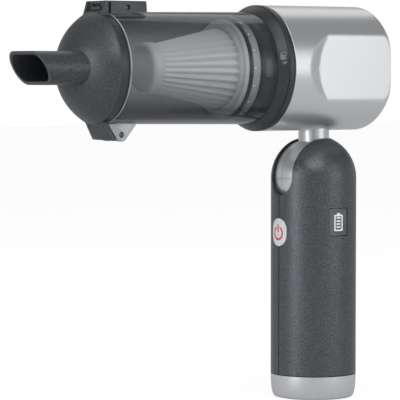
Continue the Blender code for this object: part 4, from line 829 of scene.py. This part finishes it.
def cross_recess(head, along, centre, reach, low, high):
    """Cuts a cross into a screw head, from low to high along its axis."""
    for a, b in ((reach, CROSS_HALF_W), (CROSS_HALF_W, reach)):
        corners = {"Y": ((-a, low, -b), (a, high, b)), "Z": ((-a, -b, low), (a, b, high))}[along]
        cut(head, block("recess", *[tuple(Vector(centre) + Vector(corner)) for corner in corners]))


def handle_screws():
    """Two in wells on the far side of the handle, and two under the base cap."""
    for number, place in enumerate(screw_places(), start=1):
        node = f"handle_screw_{number}"
        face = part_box(node)[1].y
        head = rod(f"{node}_head", SCREW_HEAD_R, face - 1.8 * MM, face, "Y", place, SMALL, edge=FINE_EDGE)
        cross_recess(head, "Y", place, SCREW_HEAD_R * 0.62, face - CROSS_DEPTH, face + CROSS_DEPTH)
        finished(head, STEEL, "handle", "steel", node)
    for node in ("base_screw_1", "base_screw_2"):
        low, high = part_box(node)
        middle = ((low.x + high.x) / 2, (low.y + high.y) / 2, 0)
        head = rod(f"{node}_head", SCREW_HEAD_R, low.z, low.z + 1.2 * MM, "Z", middle, SMALL, edge=0.2 * MM)
        cross_recess(head, "Z", (middle[0], 0, 0), 1.5 * MM, low.z - MM, low.z + CROSS_DEPTH)
        finished(head, STEEL, "handle", "steel", node)


def base_cap():
    """The silver cup at the foot of the handle."""
    rise = BASE_HIGH.z
    count = 24
    outer = []
    for index in range(count + 1):
        angle = math.radians(90 * index / count)
        share = max(0.0, math.cos(angle)) ** 0.42 if index < count else 0.0
        radius = BASE_FLAT_R + (HANDLE_R - BASE_FLAT_R) * share
        outer.append((radius, rise * (1 - math.sin(angle))))
    wall, floor = 1.6 * MM, 3.0 * MM
    inner = [(radius - wall, height) for radius, height in outer if height > floor + 0.2 * MM]
    profile = outer + [(0, 0), (0, floor), (inner[-1][0] - 0.5 * MM, floor)] + inner[::-1]
    cap = revolved("base_cap_cup", profile, "Z", ORIGIN)
    for number in (1, 2):
        low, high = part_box(f"base_screw_{number}")
        middle = ((low.x + high.x) / 2, 0, 0)
        cut(cap, rod("recess", SCREW_WELL_R, -MM, 2 * MM, "Z", middle, SMALL))
        cut(cap, rod("hole", 1.5 * MM, 0, 6 * MM, "Z", middle, SMALL))
    finished(cap, SILVER, "handle", "satin_silver", "base_cap")


def on_button(name, outline, radius):
    """A thin print wrapped on the button's round face. The outline is (across, up)."""
    piece = slab(name, outline, 0, PRINT_DEPTH, "X", BUTTON_MIDDLE)
    for vertex in piece.data.vertices:
        reach = radius + vertex.co.x
        turn = vertex.co.y / radius
        vertex.co.x, vertex.co.y = -reach * math.cos(turn), -reach * math.sin(turn)
    return piece


def power_button():
    """Racetrack button with a red power sign printed on it."""
    face_r = -BUTTON_LOW.x
    back_x = BUTTON_LOW.x + 5.2 * MM
    flange = button_outline(BUTTON_FLANGE)
    button = slab("power_button_cap", button_outline(0), -WALL_TO, back_x, "X", BUTTON_MIDDLE)
    keep(button, rod("face", face_r, 0, 200 * MM, "Z", ORIGIN, FINE))
    join(button, slab("flange", flange, back_x - 0.5 * MM, back_x, "X", BUTTON_MIDDLE))
    soften(button, 0.35 * MM, 3)
    finished(button, BUTTON, "button", "button_grey", "power_button", angle=40)
    ring = ring_sector((0, -0.4 * MM), 2.9 * MM, 3.9 * MM, 120, 420)
    bar = rectangle(-0.5 * MM, 0.2 * MM, 0.5 * MM, 4.3 * MM, 0.3 * MM)
    for name, outline in (("power_sign_ring", ring), ("power_sign_bar", bar)):
        printed = on_button(name, outline, face_r + 0.01 * MM)
        finished(printed, RED, "button", "button_grey")


def battery_window():
    """Tinted window with a bevelled frame and a white battery sign with four bars."""
    face_r = -WINDOW_LOW.y
    half_w = (WINDOW_HIGH.x - WINDOW_LOW.x) / 2
    half_h = (WINDOW_HIGH.z - WINDOW_LOW.z) / 2

    def frame_outline(margin):
        w, h = half_w - margin, half_h - margin
        return rectangle(-w, -h, w, h, 0.6 * MM, 5)

    lens = slab("battery_window_lens", frame_outline(0), -WALL_TO, WINDOW_HIGH.y, "Y", WINDOW_MIDDLE)
    keep(lens, rod("face", face_r, 0, 200 * MM, "Z", ORIGIN, FINE))
    cut(lens, slab("sunk", frame_outline(1.1 * MM), -WALL_TO, -face_r + 0.45 * MM, "Y", WINDOW_MIDDLE))
    soften(lens, 0.3 * MM, 2)
    finished(lens, LENS, "handle", "window_lens", "battery_window", angle=40)
    battery_sign((-face_r + 0.35 * MM, -face_r + 0.47 * MM), (0, 0, WINDOW_Z - 0.5 * MM))


def battery_sign(depths, centre):
    """A battery case with a nub on top and four bars in it."""
    wide, tall, line = 2.75 * MM, 4.3 * MM, 0.75 * MM
    case = slab("battery_sign_case", rectangle(-wide, -tall, wide, tall, 0.6 * MM, 5), *depths, "Y", centre)
    inner = rectangle(-wide + line, -tall + line, wide - line, tall - line, 0.3 * MM, 5)
    cut(case, slab("inside", inner, -WALL_TO, -10 * MM, "Y", centre))
    finished(case, WHITE, "handle", "window_lens")
    nub = rectangle(-MM, 0, MM, 0.9 * MM, 0.2 * MM, 3)
    shapes = {"nub": [(x, z + tall) for x, z in nub]}
    for number in range(4):
        height = -tall + line + 0.95 * MM + number * 1.62 * MM
        shapes[f"bar_{number + 1}"] = rectangle(-1.25 * MM, height, 1.25 * MM, height + 0.8 * MM)
    for name, outline in shapes.items():
        printed = slab(f"battery_sign_{name}", outline, *depths, "Y", centre)
        finished(printed, WHITE, "handle", "window_lens")


# Dust container and filter


def cup_radius(x):
    share = (CUP_HIGH.x - x) / (CUP_HIGH.x - CUP_LOW.x)
    return CUP_R_REAR + (CUP_R_FRONT - CUP_R_REAR) * share


def dust_container():
    """The smoky clear tube, the two latch ears and the pale hinge lugs."""
    corners = [(CUP_R_REAR - CUP_WALL, CUP_HIGH.x), (CUP_R_REAR, CUP_HIGH.x)]
    corners += [(CUP_R_FRONT, CUP_LOW.x), (CUP_R_FRONT - CUP_WALL, CUP_LOW.x)]
    cup = revolved("dust_container_tube", rounded(corners, 0.4 * MM, 4), steps=256)
    finished(cup, SMOKE, "container", "smoky_clear_plastic", "dust_container")
    # Painted highlight: a thin pale ring on the container's front edge stands in for the bright line of light
    # along the clear rim.
    rim_r = CUP_R_FRONT + PROUD
    ends = (CUP_LOW.x + 0.7 * MM, CUP_LOW.x + 0.1 * MM)
    rim = hoop("container_rim_painted_highlight", rim_r - 0.8 * MM, rim_r, *ends, 0.1 * MM, 2)
    finished(rim, LUG, "container", "smoky_clear_plastic")
    cup.visible_shadow = False
    cup.visible_diffuse = False
    pin = (LATCH_PIN.x, LATCH_PIN.z)
    foot_z = BODY_Z + cup_radius(LATCH_PIN.x) - 0.2 * MM
    outline = [(pin[0] - 4 * MM, foot_z), (pin[0] + 4 * MM, foot_z)] + arc(pin, 2.1 * MM, 10, 170, 16)
    for side, sign in SIDES.items():
        ear_y = sign * (LATCH_HALF_W - 3.1 * MM)
        ear = slab(f"latch_ear_{side}", outline, ear_y - 1.3 * MM, ear_y + 1.3 * MM, "Y", edge=0.2 * MM)
        pin_bore(ear, 1.3 * MM, LATCH_PIN)
        finished(ear, LUG, "container", "smoky_clear_plastic")
    top_z = CAP_PIN.z + (BODY_Z - CAP_PIN.z) - CUP_R_FRONT + 0.2 * MM
    centre = (CAP_PIN.x, CAP_PIN.z)
    side_view = [(X_CUP + LUG_LEN, top_z), (X_CUP, top_z), (X_CUP, top_z - 1.0 * MM)]
    side_view += arc(centre, LUG_TIP_R, 207, 322, 24)
    width = LUG_HALF_W - KNUCKLE_HALF_W - GAP - 0.1 * MM
    for side, sign in SIDES.items():
        middle = sign * (LUG_HALF_W - width / 2)
        lug = slab(f"hinge_lug_{side}", side_view, middle - width / 2, middle + width / 2, "Y", edge=EDGE)
        pin_bore(lug, CAP_PIN_BORE, CAP_PIN)
        finished(lug, LUG, "container", "smoky_clear_plastic")
    for node, middle, radius in (("latch_pin", LATCH_PIN, 1.1 * MM), ("cap_hinge_pin", CAP_PIN, 1.3 * MM)):
        low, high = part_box(node)
        place = (middle.x, 0, middle.z)
        made = rod(f"{node}_rod", radius, low.y, high.y, "Y", place, SMALL, edge=FINE_EDGE)
        finished(made, DARK_STEEL, "container", "steel", node)


def filter_parts():
    """Ribbed ring, gasket, flange with a pale lip, pleated cloth and rounded nose."""
    ring_r = RING_HIGH.z - BODY_Z
    ring = hoop("filter_ring_band", FILTER_BORE, ring_r, RING_HIGH.x, RING_LOW.x, 0.3 * MM, 3)
    rib = (0.3 * MM, 0.9 * MM, RING_HIGH.x - RING_LOW.x - 0.6 * MM)
    join(ring, spread("ribs", rib, ring_r, 18, low=RING_LOW.x + GAP))
    finished(ring, RIBBED, "container", "frosted_plastic", "filter_ring")
    gasket_r = GASKET_HIGH.z - BODY_Z
    gasket = hoop("filter_gasket_ring", FILTER_BORE, gasket_r, GASKET_HIGH.x, GASKET_LOW.x, 0.3 * MM, 3)
    finished(gasket, RUBBER, "container", "black_rubber", "filter_gasket")
    flange_r = FLANGE_HIGH.z - BODY_Z
    bore = 17.7 * MM
    corners = [(bore, FLANGE_HIGH.x), (flange_r, FLANGE_HIGH.x)]
    corners += [(flange_r - MM, FLANGE_LOW.x), (bore, FLANGE_LOW.x)]
    flange = revolved("filter_flange_disc", rounded(corners, 0.4 * MM, 4))
    finished(flange, FROST, "container", "frosted_plastic", "filter_flange")
    lip_r, rear_x, front_x = 21.2 * MM, FLANGE_LOW.x - 0.02 * MM, FLANGE_LOW.x - 2.2 * MM
    corners = [(lip_r, rear_x), (23.9 * MM, rear_x), (23.6 * MM, front_x), (lip_r, front_x)]
    lip = revolved("filter_lip", rounded(corners, 0.7 * MM, 5))
    finished(lip, FROST_PALE, "container", "frosted_plastic")
    filter_media()
    nose_r = NOSE_HIGH.z - BODY_Z
    corners = [(0, NOSE_HIGH.x), (nose_r, NOSE_HIGH.x), (nose_r, NOSE_LOW.x), (0, NOSE_LOW.x)]
    outline = rounded(corners, [0, 0.5 * MM, 4.0 * MM, 0], 14, closed=False)
    nose = revolved("filter_nose_cap", outline, steps=128)
    finished(nose, FROST, "container", "frosted_plastic", "filter_nose")


def filter_media():
    """The pleated cone, with soft folds that run from the nose to the lip."""
    front_r, rear_r = 12.4 * MM, 21.4 * MM
    grows = rear_r - front_r
    length = MEDIA_HIGH.x - MEDIA_LOW.x
    along = 24
    wall = 1.0 * MM
    outside = [(front_r + grows * k / along, MEDIA_LOW.x + length * k / along) for k in range(along + 1)]
    inside = [(radius - wall, place) for radius, place in outside[::-1]]
    count = len(outside)

    def pleated(number, radius, place, angle):
        share = (angle * PLEATS / (2 * math.pi)) % 1.0
        fold = (1 - abs(2 * share - 1)) ** 1.4
        depth = PLEAT_DEPTH * (radius + (wall if number >= count else 0)) / rear_r
        return radius - depth * fold

    cloth = revolved("filter_cloth_pleats", outside + inside, steps=PLEATS * 16, reshape=pleated)
    finished(cloth, CLOTH, "container", "filter_paper", "filter_media", angle=80)


# Cap, latch and hinge


def front_cap():
    """Band, dome and flat nozzle with the latch bracket and the hinge bracket."""
    band_x = X_CAP - BAND_LEN
    edge_r = CUP_R_FRONT - 0.15 * MM
    centre_x = band_x + math.sqrt(DOME_R**2 - edge_r**2)
    start = math.degrees(math.asin((centre_x - band_x) / DOME_R))
    inner_r = DOME_R - CAP_WALL
    inner_edge = CUP_R_FRONT - CAP_WALL
    inner_start = math.degrees(math.acos(inner_edge / inner_r))

    def meridian(radius, first, count):
        """From the angle given to the tip of the dome, on the axis."""
        turns = [math.radians(first + (90 - first) * index / count) for index in range(count)]
        points = [(radius * math.cos(turn), centre_x - radius * math.sin(turn)) for turn in turns]
        return points + [(0, centre_x - radius)]

    rear = [(inner_edge, X_CAP - MM), (inner_edge, X_CAP), (CUP_R_FRONT, X_CAP), (CUP_R_FRONT, X_CAP - MM)]
    profile = rounded(rear, 0.3 * MM, 3, closed=False)
    profile += [(CUP_R_FRONT, band_x + 0.1 * MM), (edge_r, band_x - 0.02 * MM)]
    profile += meridian(DOME_R, start, 40)[1:] + meridian(inner_r, inner_start, 20)[::-1]
    cap = revolved("front_cap_dome", profile, steps=FINE)
    tip_x = CAP_LOW.x
    inner_x = centre_x - inner_r + 6.0 * MM
    outer = slab("nozzle", stadium(NOZZLE_W, NOZZLE_H), tip_x - 3 * MM, inner_x, "X", (0, 0, BODY_Z))
    duct_outline = stadium(NOZZLE_W - 2 * NOZZLE_WALL, NOZZLE_H - 2 * NOZZLE_WALL)
    duct = slab("duct", duct_outline, tip_x - 5 * MM, inner_x + 2 * MM, "X", (0, 0, BODY_Z))
    slope = NOZZLE_SCARF / NOZZLE_H
    up = 2 * NOZZLE_H
    lip_up = NOZZLE_H / 2
    ahead_x = tip_x - 4 * NOZZLE_SCARF
    outline = [(tip_x - slope * (up - lip_up), BODY_Z + up), (tip_x + slope * (up + lip_up), BODY_Z - up)]
    outline += [(ahead_x, BODY_Z - up), (ahead_x, BODY_Z + up)]
    scarf = slab("scarf", outline, -NOZZLE_W, NOZZLE_W, "Y")
    join(cap, outer)
    cut(cap, duct, scarf)
    finished(cap, CAP_GREY, "cap", "dark_grey_plastic", "front_cap", angle=30)
    ends = (X_CAP - 0.3 * MM, band_x + 0.1 * MM)
    band = hoop("cap_band", CUP_R_FRONT - 0.3 * MM, CUP_R_FRONT + PROUD, *ends, 0.03 * MM, 2)
    finished(band, BAND_GREY, "cap", "dark_grey_plastic")
    top_bracket(band_x)
    bottom_bracket(band_x)
    seal_r = SEAL_HIGH.z - BODY_Z
    seal = hoop("cap_seal_ring", 26.5 * MM, seal_r, SEAL_HIGH.x, SEAL_LOW.x, 0.12 * MM, 2)
    finished(seal, RUBBER, "cap", "black_rubber", "cap_seal")
    outline = stadium(FLAP_HIGH.y - FLAP_LOW.y, FLAP_HIGH.z - FLAP_LOW.z)
    flap = slab("inlet_flap_sheet", outline, FLAP_LOW.x, FLAP_HIGH.x, "X", (0, 0, BODY_Z), edge=EDGE)
    finished(flap, RUBBER, "flap", "black_rubber", "inlet_flap")


def top_bracket(band_x):
    """The open block that the latch reaches into."""
    low = BODY_Z + CUP_R_FRONT - BRACKET_SKIN
    top = LATCH_HIGH.z
    outline = [(X_CAP, low), (X_CAP, top), (X_CAP - BRACKET_SKIN, top), (band_x + 0.2 * MM, low)]
    outline = rounded(outline, [0, 0.3 * MM, 0.3 * MM, 0], 3)
    bracket = slab("cap_top_bracket", outline, -LATCH_HALF_W, LATCH_HALF_W, "Y", edge=FINE_EDGE)
    inner_y = LATCH_HALF_W - BRACKET_SKIN
    floor_z = BODY_Z + CUP_R_FRONT + 0.3 * MM
    recess = block("recess", (X_CAP - 12 * MM, -inner_y, floor_z), (X_CAP - 1.2 * MM, inner_y, top + MM))
    window_low = (X_CAP - 3 * MM, -4.4 * MM, BODY_Z + 29.3 * MM)
    window_high = (X_CAP + MM, 4.4 * MM, BODY_Z + 32.8 * MM)
    cut(bracket, recess, block("window", window_low, window_high))
    finished(bracket, CAP_GREY, "cap", "dark_grey_plastic")


def bottom_bracket(band_x):
    """The slanted block and the knuckle that turns between the container's lugs."""
    top = BODY_Z - CUP_R_FRONT + BRACKET_SKIN
    pin = (CAP_PIN.x, CAP_PIN.z)
    reach = LUG_TIP_R + 0.9 * MM
    front_x, low = band_x + 5.4 * MM, CAP_PIN.z - 2.6 * MM
    outline = [(X_CAP, top), (band_x + 0.2 * MM, top), (front_x - 0.6 * MM, low + 0.9 * MM), (front_x, low)]
    outline += arc(pin, reach, 207, 222, 4)[::-1] + [(X_CUP - 0.9 * MM, top - BRACKET_SKIN)]
    bracket = slab("cap_hinge_bracket", outline, -LUG_HALF_W, LUG_HALF_W, "Y", edge=FINE_EDGE)
    half = LUG_HALF_W - 2.2 * MM
    groove_top, groove_low, ahead_x = BODY_Z - CUP_R_FRONT - 0.5 * MM, CAP_PIN.z - 5 * MM, band_x - 3 * MM
    groove = [(ahead_x, groove_top), (band_x + 1.7 * MM, groove_top)]
    groove += [(band_x + 6.1 * MM, groove_low), (ahead_x, groove_low)]
    cut(bracket, slab("groove", groove, -half, half, "Y"))
    arm = [(CAP_PIN.x - 6.4 * MM, CAP_PIN.z + 0.2 * MM), (CAP_PIN.x - 5.4 * MM, CAP_PIN.z - 2.5 * MM)]
    outline = arm + arc(pin, LUG_TIP_R - 0.2 * MM, 245, 470, 32)
    join(bracket, slab("knuckle", outline, -KNUCKLE_HALF_W, KNUCKLE_HALF_W, "Y"))
    pin_bore(bracket, CAP_PIN_BORE, CAP_PIN)
    finished(bracket, CAP_GREY, "cap", "dark_grey_plastic")


def release_latch():
    """The rocker box over the container, with its nose and pin hole."""
    front = X_CUP + GAP
    rear = X_CUP + 21.6 * MM
    top = LATCH_HIGH.z
    low = BODY_Z + CUP_R_FRONT - 4.5 * MM
    skin = 1.5 * MM
    outline = [(front, low), (rear + 0.8 * MM, low), (rear, top), (front, top)]
    outline = rounded(outline, [0, 0, 0.9 * MM, 0.3 * MM], 4)
    latch = slab("release_latch_rocker", outline, -LATCH_HALF_W, LATCH_HALF_W, "Y", edge=0.35 * MM)
    inner_y = LATCH_HALF_W - skin
    hollow = block("hollow", (front + skin, -inner_y, low - MM), (rear - skin, inner_y, top - MM))
    run_r = CUP_R_FRONT + 0.5 * MM
    behind, ahead = rear + 5 * MM, front - 2 * MM
    profile = [(0, behind), (run_r + 1.3 * MM, behind), (run_r, ahead), (0, ahead)]
    cut(latch, hollow, revolved("clearance", profile, steps=FINE))
    nose_low, nose_high = BODY_Z + 29.7 * MM, BODY_Z + 31.2 * MM
    join(latch, block("nose", (LATCH_LOW.x, -4 * MM, nose_low), (front + skin / 2, 4 * MM, nose_high)))
    pin_bore(latch, 1.45 * MM, LATCH_PIN)
    finished(latch, CAP_GREY, "latch", "dark_grey_plastic", "release_latch")


# Pieces whose CAD shape is right


def carried_over():
    """Finishes for the CAD nodes that stay."""
    finishes = {
        BLACK: "fan_shroud diffuser end_bell motor_cradle cell_holder_lower cell_holder_upper power_switch",
        RUBBER: "motor_damper_front motor_damper_rear",
        FROST: "filter_core",
        STEEL: "collar_screw_1 collar_screw_2 impeller motor_can rotor motor_shaft hinge_axle latch_spring "
        "charge_socket",
        BRONZE: "shaft_bush_front shaft_bush_rear friction_washer_left friction_washer_right",
        WRAP: "battery_cell_1 battery_cell_2 battery_cell_3",
        BOARD: "control_board switch_board indicator_board",
        FERRITE: "magnet_ring",
    }
    for finish, names in finishes.items():
        for name in names.split():
            NODES[name].data.materials.clear()
            NODES[name].data.materials.append(finish)


# Studio

SKY_STOPS = ((0.30, 0.08), (0.42, 0.25), (0.49, 0.55), (0.56, 0.55), (0.68, 0.18))  # (height share, shade)
FLOOR_GLOW = 0.78  # share of white in the floor as the camera sees it
FLOOR_MIRROR_GLOW = 0.05  # the same, as reflections see it
FLOOR_GLOW_STRENGTH = 1.15
SKY_BELOW = (0.10, 0.10, 0.105, 1)
SKY_ABOVE = (0.13, 0.135, 0.14, 1)
SKY_TINT = (0.93, 0.96, 1.0, 1)  # the plain light on the object
SKY_STRENGTH = 0.68
WHITE_LIGHT = (1, 1, 1, 1)


def world():
    """White behind the object and level with it, darker above and below, with a plain grey light on it."""
    made = bpy.data.worlds.new("studio")
    bpy.context.scene.world = made
    made.use_nodes = True
    tree = Nodes(made.node_tree)
    light = made.node_tree.nodes["Background"]
    light.inputs["Color"].default_value = SKY_TINT
    light.inputs["Strength"].default_value = SKY_STRENGTH
    place = tree.node("ShaderNodeTexCoord").outputs["Generated"]
    height = tree.node("ShaderNodeSeparateXYZ", {0: place}).outputs["Z"]
    level = tree.node("ShaderNodeMapRange", {"From Min": -1.0, "From Max": 1.0, "Value": height}).outputs[0]
    shades = tree.node("ShaderNodeValToRGB", {"Fac": level})
    stops = shades.color_ramp.elements
    stops[0].position, stops[0].color = 0.0, SKY_BELOW
    stops[1].position, stops[1].color = 1.0, SKY_ABOVE
    for position, shade in SKY_STOPS:
        stops.new(position).color = (shade, shade, shade, 1)
    mirrored = tree.node("ShaderNodeBackground", {"Color": shades.outputs["Color"]}).outputs[0]
    white = tree.node("ShaderNodeBackground", {"Color": WHITE_LIGHT, "Strength": 1.0}).outputs[0]
    direct, path = tree.seen_directly()
    indirect = tree.mixed_shader(path["Is Glossy Ray"], light.outputs[0], mirrored)
    surface = tree.mixed_shader(direct, indirect, white)
    tree.tree.links.new(surface, made.node_tree.nodes["World Output"].inputs["Surface"])


def floor():
    """A pale floor that stays white except under the object."""
    shape = bmesh.new()
    bmesh.ops.create_grid(shape, x_segments=8, y_segments=8, size=6.0)
    ground = add_mesh("floor", shape)
    made = Finish("pale_floor", (0.5, 0.5, 0.5), 0.9)
    made.colour(made.noise(3), (0.49, 0.49, 0.49), (0.51, 0.51, 0.51))
    made.set("Specular IOR Level", 0.1)
    glow = made.node("ShaderNodeEmission", {"Color": WHITE_LIGHT, "Strength": FLOOR_GLOW_STRENGTH}).outputs[0]
    seen, path = made.seen_directly()
    direct = made.node("ShaderNodeMath", {0: seen, 1: FLOOR_GLOW}, operation="MULTIPLY").outputs[0]
    inputs = {0: path["Is Glossy Ray"], 1: FLOOR_MIRROR_GLOW, 2: direct}
    share = made.node("ShaderNodeMath", inputs, operation="MULTIPLY_ADD").outputs[0]
    surface = made.mixed_shader(share, made.shader.outputs[0], glow)
    made.tree.links.new(surface, made.tree.nodes["Material Output"].inputs["Surface"])
    ground.data.materials.append(made.material)
    ground.location.z = -0.2 * MM


CAMERA_YAW = math.radians(34.13)
CAMERA_PITCH = math.radians(2.905)
CAMERA_PLACE = Vector((-0.81493, -1.09310, BODY_Z - 0.00187))
CAMERA_LENS = 227.4


def camera():
    data = bpy.data.cameras.new("camera")
    data.lens = CAMERA_LENS
    data.sensor_width = 36
    made = bpy.data.objects.new("camera", data)
    made.location = CAMERA_PLACE
    made.rotation_euler = (math.pi / 2 - CAMERA_PITCH, 0, -CAMERA_YAW)
    bpy.context.scene.collection.objects.link(made)
    bpy.context.scene.camera = made


LIT_MIDDLE = Vector((-0.06, 0, 0.13))
CARD_DISTANCE = 1.5


def softbox(name, turn, elevation, distance, width, height, power):
    """An area lamp round the object: turn is from the camera's side, in degrees, to the right."""
    heading = CAMERA_YAW + math.pi + math.radians(-turn)
    level = math.radians(elevation)
    away = Vector((math.sin(heading) * math.cos(level), math.cos(heading) * math.cos(level), math.sin(level)))
    data = bpy.data.lights.new(name, "AREA")
    data.shape = "RECTANGLE"
    data.size = width
    data.size_y = height
    data.energy = power
    lamp = bpy.data.objects.new(name, data)
    lamp.location = LIT_MIDDLE + away * distance
    lamp.rotation_mode = "QUATERNION"
    lamp.rotation_quaternion = (-away).to_track_quat("-Z", "Y")
    bpy.context.scene.collection.objects.link(lamp)


def dark_card():
    """A dark card on the camera's side that only reflections show, so that round shells darken mid-way."""
    half = Vector((0.32, 0.01, 0.6))
    card = block("dark_card", -half, half)
    made = Finish("card_black", (0.02, 0.02, 0.02), 1.0)
    made.colour(made.noise(5), (0.018, 0.018, 0.018), (0.022, 0.022, 0.022))
    card.data.materials.append(made.material)
    heading = CAMERA_YAW + math.pi
    card.location = LIT_MIDDLE + CARD_DISTANCE * Vector((math.sin(heading), math.cos(heading), 0))
    card.rotation_euler = (0, 0, -CAMERA_YAW)
    for rays in ("camera", "shadow", "diffuse", "transmission"):
        setattr(card, f"visible_{rays}", False)


LAMPS = {  # turn, elevation, distance, width, height, power
    "left_strip": (-52, 2, 1.3, 0.55, 1.3, 8.5),
    "right_strip": (60, 3, 1.3, 0.75, 1.3, 3.7),
    "front_panel": (5, 38, 1.6, 1.0, 0.5, 7),
    "top_panel": (10, 68, 1.4, 0.9, 0.5, 3),
    "rear_panel": (180, 45, 1.5, 1.2, 0.8, 2.5),
}


def lights():
    for name, settings in LAMPS.items():
        softbox(name, *settings)


def build():
    """Every piece of the object."""
    motor_housing()
    exhaust()
    lock_collar()
    intake_spigot()
    hinge_arms()
    handle_shells()
    handle_screws()
    base_cap()
    power_button()
    battery_window()
    dust_container()
    filter_parts()
    front_cap()
    release_latch()
    carried_over()


camera()
build()
world()
floor()
dark_card()
lights()
bpy.context.scene.view_settings.view_transform = "Standard"
